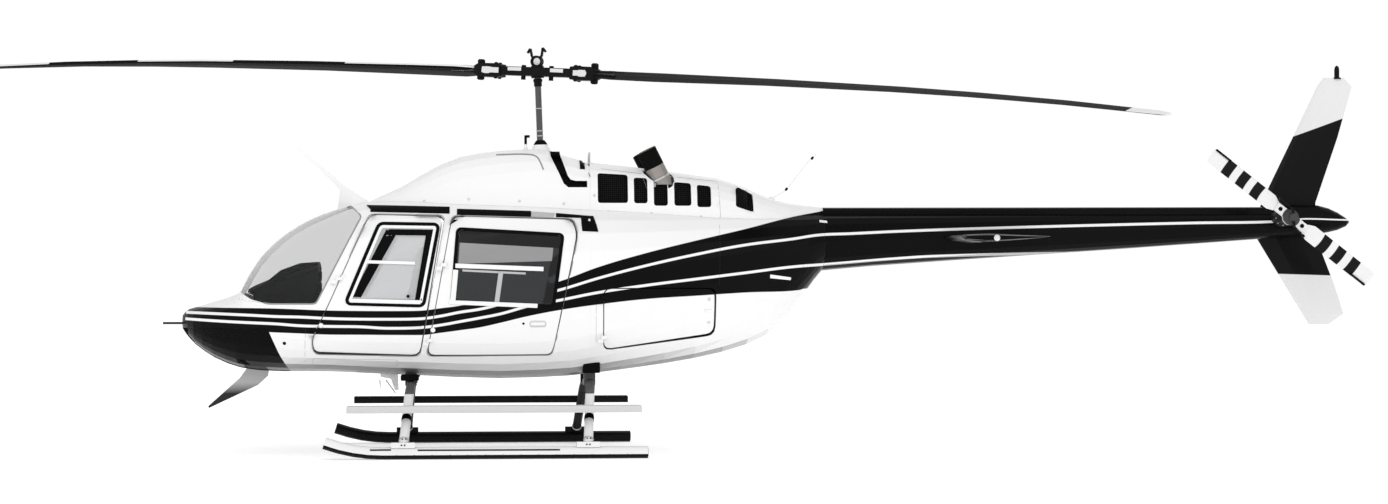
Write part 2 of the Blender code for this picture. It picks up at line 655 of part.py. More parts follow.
def fairings():
    """Thin covers over the gearbox and the engine, open underneath where they meet the body."""
    body = swollen_body("body_cut")

    def cover(name, rows, stations, front, rear):
        outer = hull(name, rows, stations)
        inner_stations = [s for s in stations if s > stations[0] + 0.05 and s < stations[-1] - 0.01]
        inner = hull("inner", rows, ([stations[0] - 0.05] if front else []) + inner_stations
                     + ([stations[-1] + 0.05] if rear else []), FAIRING_WALL)
        lower = box("under", (stations[0] - 0.1, -0.5, 1.55), (stations[-1] + 0.1, 0.5, 1.75))
        cut(outer, inner)
        cut(outer, lower)
        cut(outer, body, keep_tool=True)
        return outer

    pylon = cover("pylon_cowl", PYLON_ROWS, PYLON_STATIONS, False, True)
    mast_line = HUB + Matrix.Rotation(MAST_TILT, 3, "Y") @ Vector((0.0, 0.0, -0.61))
    cut(pylon, turned_at("mast_hole", ((MAST_HOLE_RADIUS, -0.3), (MAST_HOLE_RADIUS, 0.3)), 20, mast_line))
    inlet = common(copy_of(pylon, "inlet_fairing"),
                   side_prism("region", INLET_FRONT + ((3.300, 2.600),), -1.0, 1.0))
    place(inlet, WHITE)
    front = ((1.300, 2.600), (1.300, 1.700), (3.300, 1.700))
    common(pylon, side_prism("region", front + PYLON_REAR, -1.0, 1.0))
    place(pylon, WHITE)

    cowl = cover("engine_cowl", COWL_ROWS, COWL_STATIONS, True, True)
    for corners in GRILLES:
        cut(cowl, side_prism("grille", rounded(corners, 0.02, 2), -1.0, 1.0))
    for side, sign in SIDES:
        cut(cowl, rod("stack_hole", (3.88, sign * 0.215, 2.02), (3.56, sign * 0.255, 2.50), 0.092, 16))
    place(cowl, WHITE)
    tailpiece = cover("aft_fairing", TAILPIECE_ROWS, TAILPIECE_STATIONS, True, False)
    cut(tailpiece, side_prism("grille", TAIL_GRILLE, -1.0, 1.0))
    place(tailpiece, WHITE)
    bpy.data.objects.remove(body)


def turned_at(name, profile, sides, spot):
    made = turned(name, profile, sides)
    made.data.transform(Matrix.Translation(spot))
    return made


def powerplant():
    place(box("engine_block", (3.32, -0.235, 1.7203), (4.10, 0.235, 2.12)), DARK_METAL)
    gearbox = box("main_gearbox", (2.62, -0.19, 1.90), (3.04, 0.19, 2.28))
    cut(gearbox, swollen_body("body_cut"))
    place(gearbox, DARK_METAL)
    for side, sign in SIDES:
        foot, tip = Vector((3.812, sign * 0.222, 2.10)), Vector((3.662, sign * 0.250, 2.392))
        stack = rod(f"exhaust_{side}", foot, tip, 0.080, 18)
        bore = rod("bore", foot + (tip - foot) * 0.30, tip + (tip - foot) * 0.3, 0.072, 18)
        cut(stack, bore)
        cut(stack, box("seat", (3.2, -0.6, 1.6), (4.3, 0.6, 2.1203)))
        place(stack, STEEL)


def rotor_frame():
    """Matrix from the rotor's own frame, blades along X, to nose stations."""
    spin = Matrix.Rotation(MAST_TILT, 4, "Y") @ Matrix.Rotation(ROTOR_YAW, 4, "Z")
    return Matrix.Translation(HUB) @ spin @ Matrix.Rotation(ROTOR_TEETER, 4, "Y")


def blade_sections(rows):
    """Rings of an aerofoil: span place, leading y, trailing y, mid z, thickness, nose-down twist in degrees."""
    # share of chord, share of thickness above and below
    foil = ((0.0, 0.06), (0.06, 0.36), (0.25, 0.50), (0.60, 0.32), (1.0, 0.03))
    rings = []
    for x, lead, trail, z, thick, twist in rows:
        upper = [(lead + (trail - lead) * s, thick * t) for s, t in foil]
        lower = [(lead + (trail - lead) * s, -thick * t) for s, t in reversed(foil)]
        ring = []
        for y, h in upper + lower:
            angle = math.radians(twist)
            ring.append((x, y * math.cos(angle) - h * math.sin(angle),
                         z + y * math.sin(angle) + h * math.cos(angle)))
        rings.append(ring)
    return rings


def main_rotor():
    axis = Matrix.Rotation(MAST_TILT, 4, "Y")
    mast = turned("mast", ((MAST_RADIUS, MAST_FOOT), (MAST_RADIUS, MAST_TOP)), 14)
    mast.data.transform(Matrix.Translation(HUB) @ axis)
    place(mast, STEEL, HUB)
    local = rotor_frame()
    spin_only = Matrix.Translation(HUB) @ axis @ Matrix.Rotation(ROTOR_YAW, 4, "Z")

    yoke = plan_prism("rotor_yoke", ((-0.30, -0.055), (-0.13, -0.078), (0.13, -0.078), (0.30, -0.055),
                                     (0.30, 0.055), (0.13, 0.078), (-0.13, 0.078), (-0.30, 0.055)), -0.035, 0.035)
    for x in (-0.12, 0.12):
        join(yoke, rod("bolt", (x, 0.0, -0.066), (x, 0.0, 0.052), 0.020, 8))
    yoke.data.transform(local)
    trunnion = turned("trunnion", ((0.052, -0.048), (0.052, 0.048)), 14)
    trunnion.data.transform(spin_only)
    join(yoke, trunnion)
    bore = turned("bore", ((MAST_RADIUS + GAP, -0.2), (MAST_RADIUS + GAP, 0.2)), 14)
    bore.data.transform(Matrix.Translation(HUB) @ axis)
    cut(yoke, bore)
    place(yoke, DARK_METAL, HUB)

    # A ring on edge above the mast's end, with a hooked horn over each blade
    restraint = rod("flapping_restraint", (0.0, -0.024, 0.083), (0.0, 0.024, 0.083), 0.049, 16)
    cut(restraint, box("seat", (-0.1, -0.1, 0.0), (0.1, 0.1, MAST_TOP + GAP)))
    cut(restraint, rod("window", (0.0, -0.1, 0.090), (0.0, 0.1, 0.090), 0.018, 10))
    for end in (-1.0, 1.0):
        horn = [(end * x, z) for x, z in ((0.018, 0.112), (0.036, 0.104), (0.050, 0.128), (0.057, 0.168),
                                          (0.074, 0.152), (0.084, 0.162), (0.060, 0.194), (0.046, 0.190),
                                          (0.036, 0.134))]
        join(restraint, side_prism("horn", horn, -0.011, 0.011))
    restraint.data.transform(spin_only)
    place(restraint, DARK_METAL, HUB)

    for tag, end in (("a", -1.0), ("b", 1.0)):
        # distance from the mast, half width, half height
        grip = bridge(f"blade_grip_{tag}", [
            [(end * x, y, z) for y, z in ((-w, -h), (w, -h), (w, h), (-w, h))]
            for x, w, h in ((0.3003, 0.062, 0.050), (0.345, 0.074, 0.056), (0.480, 0.085, 0.054),
                            (BLADE_ROOT - GAP, 0.070, 0.032))])
        window = sorted_corners((end * 0.375, -0.2, -0.026), (end * 0.452, 0.2, 0.026))
        cut(grip, box("window", *window))
        join(grip, rod("bolt", (end * 0.492, 0.0, -0.070), (end * 0.492, 0.0, 0.076), 0.031, 10))
        grip.data.transform(local)
        place(grip, DARK_METAL, HUB)
        rows = []
        for x, share, thick, pitch_a, pitch_b in BLADE_ROWS:
            pitch = pitch_a if tag == "a" else pitch_b
            lead = end * BLADE_LEAD * BLADE_CHORD * share
            trail = end * (BLADE_LEAD - 1.0) * BLADE_CHORD * share
            drop = -BLADE_DROOP * (x / BLADE_ROWS[-1][0]) ** 3
            rows.append((end * x, lead, trail, drop, thick, end * pitch))
        blade = bridge(f"main_blade_{tag}", blade_sections(rows))
        blade.data.transform(local)
        place(blade, BLACK, HUB)


def tail_rotor():
    frame = Matrix.Translation(TAIL_HUB) @ Matrix.Rotation(TAIL_BLADE_ANGLE, 4, "Y")
    sideways = Matrix.Rotation(math.radians(90), 4, "X")
    case = turned("tail_gearbox", ((0.060, 0.060), (0.060, 0.21), (0.040, 0.24), (0.030, 0.32)), 16)
    case.data.transform(Matrix.Translation((TAIL_HUB.x, 0.0, TAIL_HUB.z)) @ sideways)
    cut(case, hull("boom_cut", BOOM_ROWS, BOOM_STATIONS, -GAP, steps=5))
    place(case, DARK_METAL)
    hub = turned("tail_rotor_hub", ((0.020, -0.0997), (0.020, -0.028), (0.062, -0.028), (0.062, 0.028), (0.030, 0.040),
                                    (0.030, 0.085)), 16)
    hub.data.transform(sideways)
    for end in (-1.0, 1.0):
        join(hub, box("arm", *sorted_corners((end * 0.02, -0.020, -0.034), (end * 0.15, 0.020, 0.034))))
    hub.data.transform(frame)
    place(hub, DARK_METAL, TAIL_HUB)
    for tag, end in (("a", -1.0), ("b", 1.0)):
        rows = []
        for share in (0.0, 0.08, 0.45, 0.97, 1.0):
            x = TAIL_BLADE_ROOT + (TAIL_RADIUS - TAIL_BLADE_ROOT) * share
            half = TAIL_CHORD * (0.32 if share == 0.0 else (0.42 if share == 1.0 else 0.5))
            rows.append((end * x, -half * end, half * end, 0.0, 0.020 if share < 1.0 else 0.010,
                         TAIL_BLADE_PITCH * end))
        blade = bridge(f"tail_blade_{tag}", blade_sections(rows))
        blade.data.transform(frame @ sideways)
        place(blade, WHITE, TAIL_HUB)


def sorted_corners(a, b):
    """Low and high corner of a box from any two opposite corners."""
    return [min(pair) for pair in zip(a, b)], [max(pair) for pair in zip(a, b)]


def landing_gear():
    body = swollen_body("body_cut")
    for side, sign in SIDES:
        path = [(x, sign * SKID_Y, SKID_RADIUS) for x in (SKID_X[1], 2.6, SKID_X[0])]
        # the front end curves up a little
        path += [(SKID_X[0] - 0.11 * k, sign * SKID_Y, SKID_RADIUS + 0.0050 * k * k) for k in (1, 2, 3, 4)]
        skid = sweep(f"skid_{side}", path, circle(SKID_RADIUS, 12))
        place(skid, WHITE)
    for name, x in zip(("front_cross_tube", "rear_cross_tube"), CROSS_STATIONS):
        half = [(x + shift, y, z) for y, z, shift in CROSS_PATH]
        path = [(px, -y, z) for px, y, z in reversed(half)] + half[1:]
        tube = sweep(name, path, circle(CROSS_RADIUS, 10))
        top_x, arm_x = half[0][0], x + STEP_ARM_SHIFT
        for side, sign in SIDES:
            seat = box("saddle", *sorted_corners((top_x - 0.045, sign * SADDLE_Y[0], 0.53),
                                                 (top_x + 0.045, sign * SADDLE_Y[1], 0.72)))
            cut(seat, body, keep_tool=True)
            join(tube, seat)
            foot = box("foot", *sorted_corners((x - 0.09, sign * (SKID_Y - 0.030), 0.085),
                                               (x + 0.09, sign * (SKID_Y + 0.030), 0.128)))
            join(tube, foot)
            cut(tube, sweep("skid_cut", [(x + d, sign * SKID_Y, SKID_RADIUS) for d in (0.3, -0.3)],
                            circle(SKID_RADIUS + GAP, 12)))
            arm = box("step_arm", *sorted_corners((arm_x - 0.02, sign * 0.66, STEP_Z - 0.012),
                                                  (arm_x + 0.02, sign * (STEP_Y[0] - GAP), STEP_Z + 0.012)))
            join(tube, arm)
        place(tube, WHITE)
    for side, sign in SIDES:
        tread = box(f"step_{side}", *sorted_corners((STEP_X[0], sign * STEP_Y[0], STEP_Z - 0.015),
                                                    (STEP_X[1], sign * STEP_Y[1], STEP_Z + 0.015)))
        place(tread, WHITE)
    bpy.data.objects.remove(body)


def cabin_inside():
    room = body_hull("room", WALL)
    room.data.transform(Matrix.Translation((0.0005, 0.0, 0.0005)))
    floor = box("cabin_floor", (0.62, -0.52, 0.775), (BULKHEAD_X - GAP, 0.52, 0.795))
    common(floor, body_hull("floor_edge", WALL + 0.020))
    for sign in (-1.0, 1.0):
        keel = box("keel", *sorted_corners((0.90, sign * 0.235, 0.50), (BULKHEAD_X - GAP, sign * 0.265, 0.785)))
        join(floor, common(keel, room, keep_tool=True))
    join(floor, box("front_base", (1.42, -0.46, 0.785), (1.95, 0.46, 1.02)))
    join(floor, box("rear_base", (2.56, -0.46, 0.785), (3.12, 0.46, 1.02)))
    place(floor, TRIM)
    console = side_prism("instrument_console", ((0.60, 0.7953), (1.02, 0.7953), (1.02, 1.12), (1.055, 1.30),
                                                (1.07, 1.505), (0.93, 1.495), (0.78, 1.44), (0.62, 1.31),
                                                (0.56, 1.25), (0.60, 1.10)), -0.19, 0.19)
    place(console, BLACK)
    seat_outline = ((1.40, 1.0203), (1.86, 1.0203), (1.99, 1.62), (1.94, 1.66), (1.87, 1.62), (1.76, 1.13),
                    (1.42, 1.13))
    for side, sign in SIDES:
        low, high = sorted((sign * 0.07, sign * 0.48))
        place(side_prism(f"front_seat_{side}", rounded(seat_outline, 0.03, 2), low, high), SEAT)
    bench = ((2.53, 1.0203), (3.05, 1.0203), (3.19, 1.68), (3.15, 1.72), (3.08, 1.68), (2.94, 1.13), (2.55, 1.13))
    place(side_prism("rear_seat_bench", rounded(bench, 0.03, 2), -0.48, 0.48), SEAT)
    bpy.data.objects.remove(room)


def fittings():
    body = swollen_body("body_cut")
    pitot = rod("pitot_tube", (-0.156, 0.0, 1.020), (0.05, 0.0, 1.020), 0.009, 8)
    cut(pitot, body, keep_tool=True)
    place(pitot, STEEL)
    upper = side_prism("upper_wire_cutter", ((0.878, 2.412), (1.076, 2.238), (1.234, 2.079), (1.20, 1.80),
                                             (1.46, 1.80), (1.46, 1.990), (1.274, 2.110), (1.10, 2.262),
                                             (0.905, 2.430)), -0.012, 0.012)
    cut(upper, body, keep_tool=True)
    place(upper, WHITE)
    lower = side_prism("lower_wire_cutter", ((0.205, 0.346), (0.589, 0.527), (0.668, 0.60), (0.70, 0.80),
                                             (0.60, 0.80), (0.448, 0.585), (0.200, 0.362)), -0.012, 0.012)
    cut(lower, body, keep_tool=True)
    place(lower, GREY)
    lamp = side_prism("belly_lamp", ((1.553, 0.66), (1.690, 0.66), (1.700, 0.485), (1.672, 0.485), (1.640, 0.575),
                                     (1.560, 0.590)), -0.045, 0.045)
    cut(lamp, body, keep_tool=True)
    place(lamp, DARK_METAL)
    bpy.data.objects.remove(body)


fuselage()
tail()
fairings()
powerplant()
main_rotor()
tail_rotor()
landing_gear()
cabin_inside()
fittings()
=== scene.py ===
"""Finishing set for a light helicopter parked on high skid gear.

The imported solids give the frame. This file paints them and adds the trim, window
frames, rotor fittings, cabin furnishings, lamps, antenna, rivets and the studio.
X runs aft, -Y is the aircraft's left side and Z is up from the ground, in metres.
"""
import math

import bmesh
import bpy
from bpy.props import FloatProperty, FloatVectorProperty, IntProperty, PointerProperty
from mathutils import Matrix, Vector
from mathutils.bvhtree import BVHTree


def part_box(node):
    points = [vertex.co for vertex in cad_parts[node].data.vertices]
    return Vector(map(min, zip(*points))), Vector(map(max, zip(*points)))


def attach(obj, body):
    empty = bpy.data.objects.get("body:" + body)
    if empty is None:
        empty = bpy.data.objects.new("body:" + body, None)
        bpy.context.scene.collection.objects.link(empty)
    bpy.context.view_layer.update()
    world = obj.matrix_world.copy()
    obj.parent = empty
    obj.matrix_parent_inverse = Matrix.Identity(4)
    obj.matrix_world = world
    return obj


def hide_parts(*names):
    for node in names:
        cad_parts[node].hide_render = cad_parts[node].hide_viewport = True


bl_info = {
    "name": "Light helicopter finishing set",
    "version": (1, 0, 0),
    "blender": (4, 5, 0),
    "location": "View3D > Sidebar > Helicopter",
    "description": "Paint, trim, cabin, rotor fittings and studio for a light helicopter",
    "category": "Object",
}

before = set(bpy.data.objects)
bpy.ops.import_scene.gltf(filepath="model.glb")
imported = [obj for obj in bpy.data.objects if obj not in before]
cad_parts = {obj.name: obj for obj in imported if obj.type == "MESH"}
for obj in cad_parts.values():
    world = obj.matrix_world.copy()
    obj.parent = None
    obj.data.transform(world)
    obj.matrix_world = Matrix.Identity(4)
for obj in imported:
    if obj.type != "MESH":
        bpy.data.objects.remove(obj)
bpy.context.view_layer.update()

SIDES = (("left", -1), ("right", 1))
HUB = Vector((-0.999, 0.0, 3.030))
MAST_LEAN, ROTOR_HEADING, ROTOR_TILT, TAIL_ROTOR_TURN = -2.2, -24.2, 5.4, 37.7
TAIL_HUB = Vector((5.053, -0.42, 1.865))
SKID_Y = 1.05
SEAT_Y = 0.275


def turning(degrees, axis="Y"):
    return Matrix.Rotation(math.radians(degrees), 4, axis)


MAST_TURN = Matrix.Translation(HUB) @ turning(MAST_LEAN)
HEAD_TURN = MAST_TURN @ turning(ROTOR_HEADING, "Z") @ turning(ROTOR_TILT)
TAIL_TURN = Matrix.Translation(TAIL_HUB) @ turning(TAIL_ROTOR_TURN)

# Heights of the paint lines along the side, as (x, z).
STRIPE_RANGE = (-3.9, 5.8)
BAND_RANGE = (-3.9, 1.5)
BAND_TOP = ((-3.9, 1.148), (-3.75, 1.148), (-3.43, 1.145), (-3.23, 1.144), (-3.04, 1.141),
    (-2.62, 1.126), (-2.39, 1.123), (-2.16, 1.122), (-1.93, 1.124), (-1.77, 1.143), (-1.62, 1.163),
    (-1.309, 1.23), (-0.851, 1.35), (-0.539, 1.464), (-0.151, 1.577), (0.238, 1.673),
    (0.628, 1.764), (1.02, 1.863), (1.326, 1.925), (1.5, 1.97))
BAND_FOOT = ((-3.9, 1.006), (-3.1, 0.958), (-2.85, 0.948), (-2.62, 0.939), (-2.39, 0.938),
    (-2.16, 0.936), (-1.93, 0.935), (-1.77, 0.952), (-1.62, 0.972), (-1.466, 0.994),
    (-1.312, 1.028), (-1.08, 1.083), (-0.848, 1.127), (-0.539, 1.1715), (-0.151, 1.214),
    (0.238, 1.238), (0.628, 1.262), (1.092, 1.281), (1.12, 1.29), (1.5, 1.3))
UPPER_LINE = ((-3.9, 1.109), (-3.765, 1.107), (-3.43, 1.096), (-3.23, 1.088), (-3.04, 1.079),
    (-2.85, 1.075), (-2.62, 1.064), (-2.39, 1.059), (-2.16, 1.058), (-1.93, 1.061), (-1.77, 1.082),
    (-1.62, 1.112), (-1.466, 1.135), (-1.27, 1.183), (-0.848, 1.284), (-0.539, 1.377),
    (-0.151, 1.478), (0.238, 1.564), (0.628, 1.638), (1.02, 1.688), (1.252, 1.722), (1.5, 1.733),
    (1.9, 1.7525), (2.7, 1.781), (3.5, 1.8045), (4.31, 1.825), (5.092, 1.842), (5.284, 1.861),
    (5.637, 1.854), (5.8, 1.854))
LOWER_LINE = ((-3.9, 1.062), (-3.759, 1.056), (-3.43, 1.039), (-3.23, 1.03), (-3.04, 1.022),
    (-2.85, 1.008), (-2.62, 1.003), (-2.39, 1), (-2.16, 0.988), (-1.93, 0.993), (-1.77, 1.012),
    (-1.62, 1.039), (-1.466, 1.067), (-1.312, 1.097), (-1.08, 1.161), (-0.848, 1.204),
    (-0.539, 1.265), (-0.151, 1.322), (0.238, 1.37), (0.628, 1.418), (1.02, 1.466), (1.349, 1.49),
    (1.9, 1.535), (2.2, 1.553), (5.8, 1.6))
HIGH = 3.2


# ---------------------------------------------------------------- node wiring
class Wiring:
    """Adds nodes to one tree and joins them."""

    def __init__(self, tree):
        self.tree = tree

    def add(self, kind, **settings):
        node = self.tree.nodes.new(kind)
        for key, value in settings.items():
            setattr(node, key, value)
        return node

    def feed(self, socket, value):
        if isinstance(value, bpy.types.NodeSocket):
            self.tree.links.new(value, socket)
        elif value is not None:
            socket.default_value = value

    def math(self, operation, first, second=None, third=None, clamp=False):
        node = self.add("ShaderNodeMath", operation=operation, use_clamp=clamp)
        for socket, given in zip(node.inputs, (first, second, third)):
            self.feed(socket, given)
        return node.outputs[0]

    def reach(self, value, low, high, to_low=0.0, to_high=1.0):
        """The value carried from one range to another, clamped at both ends."""
        node = self.add("ShaderNodeMapRange")
        for socket, given in zip(node.inputs, (value, low, high, to_low, to_high)):
            self.feed(socket, given)
        return node.outputs[0]

    def noise(self, scale, vector=None, detail=3.0):
        node = self.add("ShaderNodeTexNoise")
        self.feed(node.inputs["Vector"], vector)
        self.feed(node.inputs["Scale"], scale)
        self.feed(node.inputs["Detail"], detail)
        return node.outputs["Fac"]

    def scaled(self, colour, share):
        """A colour made lighter or darker."""
        node = self.add("ShaderNodeVectorMath", operation="SCALE")
        self.feed(node.inputs[0], colour)
        self.feed(node.inputs["Scale"], share)
        return node.outputs[0]

    def mix(self, mask, first, second):
        node = self.add("ShaderNodeMix", data_type="RGBA")
        self.feed(node.inputs["Factor"], mask)
        self.feed(node.inputs[6], first)
        self.feed(node.inputs[7], second)
        return node.outputs[2]

    def place(self):
        """X, Y and Z of the point, and its direction, all in the frame."""
        place = self.add("ShaderNodeTexCoord")
        split = self.add("ShaderNodeSeparateXYZ")
        self.feed(split.inputs[0], place.outputs["Object"])
        facing = self.add("ShaderNodeSeparateXYZ")
        self.feed(facing.inputs[0], place.outputs["Normal"])
        return place.outputs["Object"], split.outputs, facing.outputs


def new_group(name, inputs, outputs):
    """A shader node group with named sockets: inputs are (name, kind, default)."""
    tree = bpy.data.node_groups.new(name, "ShaderNodeTree")
    for label, kind, default in inputs:
        socket = tree.interface.new_socket(label, in_out="INPUT", socket_type="NodeSocket" + kind)
        if default is not None:
            socket.default_value = default
    for label, kind in outputs:
        tree.interface.new_socket(label, in_out="OUTPUT", socket_type="NodeSocket" + kind)
    wires = Wiring(tree)
    source = wires.add("NodeGroupInput").outputs
    sink = wires.add("NodeGroupOutput").inputs
    return wires, source, sink


def line_height(wires, along, points, reach):
    """The height of a paint line at a place along the side, from a curve."""
    share = wires.reach(along, *reach)
    node = wires.add("ShaderNodeFloatCurve")
    wires.feed(node.inputs["Value"], share)
    curve = node.mapping.curves[0]
    for index, (x, z) in enumerate(points):
        spot = ((x - reach[0]) / (reach[1] - reach[0]), z / HIGH)
        if index < 1:
            curve.points[0].location = spot
        elif index < len(points) - 1:
            curve.points.new(*spot)
        else:
            curve.points[len(curve.points) - 1].location = spot
    for point in curve.points:
        point.handle_type = "AUTO_CLAMPED"
    node.mapping.update()
    return wires.math("MULTIPLY", node.outputs[0], HIGH)


def below(wires, height, line, blur=0.003):
    """1 under a line and 0 above it."""
    gap = wires.math("SUBTRACT", line, height)
    return wires.reach(gap, -blur / 2, blur / 2)


def between(wires, value, low, high, blur=0.004):
    """1 between two bounds and 0 outside them."""
    rise = wires.reach(wires.math("SUBTRACT", value, low), -blur / 2, blur / 2)
    fall = wires.reach(wires.math("SUBTRACT", high, value), -blur / 2, blur / 2)
    return wires.math("MULTIPLY", rise, fall)


def build_wear_group():
    """Slow drift of tone, fine grain and dust that settles on what faces up."""
    wires, source, sink = new_group("surface_wear", (("Color", "Color", (0.8, 0.8, 0.8, 1)),
        ("Tone", "Float", 0.04), ("Roughness", "Float", 0.4), ("Spread", "Float", 0.08),
        ("Grain Scale", "Float", 60.0), ("Dust", "Float", 0.0)), (("Color", "Color"),
        ("Roughness", "Float"), ("Height", "Float")))
    point, _, facing = wires.place()
    drift = wires.math("SUBTRACT", wires.noise(2.3, point, 4.0), 0.5)
    grain = wires.noise(source["Grain Scale"], point, 2.0)
    shade = wires.math("MULTIPLY_ADD", drift, source["Tone"], 1.0)
    toned = wires.scaled(source["Color"], shade)
    up = wires.reach(facing[2], 0.2, 1.0)
    speck = wires.reach(wires.noise(9.0, point, 5.0), 0.42, 0.7)
    dust = wires.math("MULTIPLY", wires.math("MULTIPLY", up, speck), source["Dust"])
    wires.feed(sink["Color"], wires.mix(dust, toned, (0.42, 0.40, 0.37, 1)))
    rough = wires.math("MULTIPLY", wires.math("SUBTRACT", grain, 0.5), source["Spread"])
    rough = wires.math("ADD", rough, source["Roughness"])
    rough = wires.math("ADD", rough, wires.math("MULTIPLY", dust, 0.4), clamp=True)
    wires.feed(sink["Roughness"], rough)
    wires.feed(sink["Height"], grain)


def build_livery_group():
    """The black band with two white lines along the body, the black chin, and painted shade: the
    white darker towards the bottom of the body and on faces turned down.
    """
    wires, source, sink = new_group("side_livery", (("Line Width", "Float", 0.027),),
        (("Black", "Float"), ("Shade", "Float")))
    _, split, facing = wires.place()
    along, height = split[0], split[2]
    half = wires.math("MULTIPLY", source["Line Width"], 0.5)
    upper = line_height(wires, along, UPPER_LINE, STRIPE_RANGE)
    lower = line_height(wires, along, LOWER_LINE, STRIPE_RANGE)
    top = line_height(wires, along, BAND_TOP, BAND_RANGE)
    foot = line_height(wires, along, BAND_FOOT, BAND_RANGE)
    aft = wires.math("GREATER_THAN", along, 1.30)
    nose = wires.math("GREATER_THAN", -3.10, along)
    band = wires.math("MULTIPLY", below(wires, height, top), wires.math("SUBTRACT", 1.0,
        below(wires, height, foot)))
    chin_edge = wires.math("MULTIPLY_ADD", wires.math("SUBTRACT", 0.951, height), 0.505, -3.102)
    chin = wires.math("MULTIPLY", below(wires, along, chin_edge), below(wires, height, 1.08))
    full = wires.math("MAXIMUM", wires.math("MAXIMUM", band, chin), aft)
    lines = 0.0
    for line in (upper, lower):
        gap = wires.math("ABSOLUTE", wires.math("SUBTRACT", height, line))
        stroke = below(wires, gap, half)
        lines = wires.math("MAXIMUM", lines, stroke)
    started = wires.math("GREATER_THAN", along, -3.775)
    lines = wires.math("MULTIPLY", lines, started)
    black = wires.math("MULTIPLY", full, wires.math("SUBTRACT", 1.0, lines))
    wires.feed(sink["Black"], black)
    # painted shade: the white grows darker below 0.95 m, except at the nose, and much darker on
    # faces turned down
    painted_shade = wires.reach(height, 0.55, 0.95, 0.86, 1.0)
    painted_shade = wires.math("MULTIPLY", wires.math("MAXIMUM", painted_shade, nose),
        wires.reach(facing[2], -0.95, -0.80, 0.25, 1.0))
    wires.feed(sink["Shade"], painted_shade)


def build_band_group():
    """Paint bands along a blade, by distance from the turning axis, and black on faces turned down
    where Faces Down is set.
    """
    wires, source, sink = new_group("blade_bands", (("Axis X", "Float", 0.0),
        ("Axis Y", "Float", 0.0), ("Axis Z", "Float", 0.0)) + tuple((f"{end} {n}", "Float",
        0.0) for n in (1, 2, 3) for end in ("From", "To")) + (("Faces Down", "Float", 0.0),),
        (("Black", "Float"),))
    point, _, facing = wires.place()
    axis = wires.add("ShaderNodeCombineXYZ")
    for index, name in enumerate(("Axis X", "Axis Y", "Axis Z")):
        wires.feed(axis.inputs[index], source[name])
    away = wires.add("ShaderNodeVectorMath", operation="DISTANCE")
    wires.feed(away.inputs[0], point)
    wires.feed(away.inputs[1], axis.outputs[0])
    black = 0.0
    for n in (1, 2, 3):
        black = wires.math("MAXIMUM", black, between(wires, away.outputs["Value"],
            source[f"From {n}"], source[f"To {n}"]))
    under = wires.reach(facing[2], -0.30, -0.34)
    wires.feed(sink["Black"], wires.math("MAXIMUM", black, wires.math("MULTIPLY", under,
        source["Faces Down"])))


def build_weave_group():
    """Crossed threads for seat cloth and carpet."""
    wires, source, sink = new_group("woven_cloth", (("Color", "Color", (0.5, 0.5, 0.5, 1)),
        ("Threads", "Float", 420.0)), (("Color", "Color"), ("Height", "Float")))
    point, split, _ = wires.place()
    across = wires.math("SINE", wires.math("MULTIPLY", split[1], source["Threads"]))
    slant = wires.math("ADD", split[0], split[2])
    along = wires.math("SINE", wires.math("MULTIPLY", slant, source["Threads"]))
    thread = wires.math("MULTIPLY", across, along)
    fade = wires.math("MULTIPLY_ADD", wires.noise(14.0, point, 4.0), 0.25, 0.86)
    lit = wires.math("MULTIPLY_ADD", thread, 0.10, fade)
    wires.feed(sink["Color"], wires.scaled(source["Color"], lit))
    wires.feed(sink["Height"], thread)


LOOKS = {}
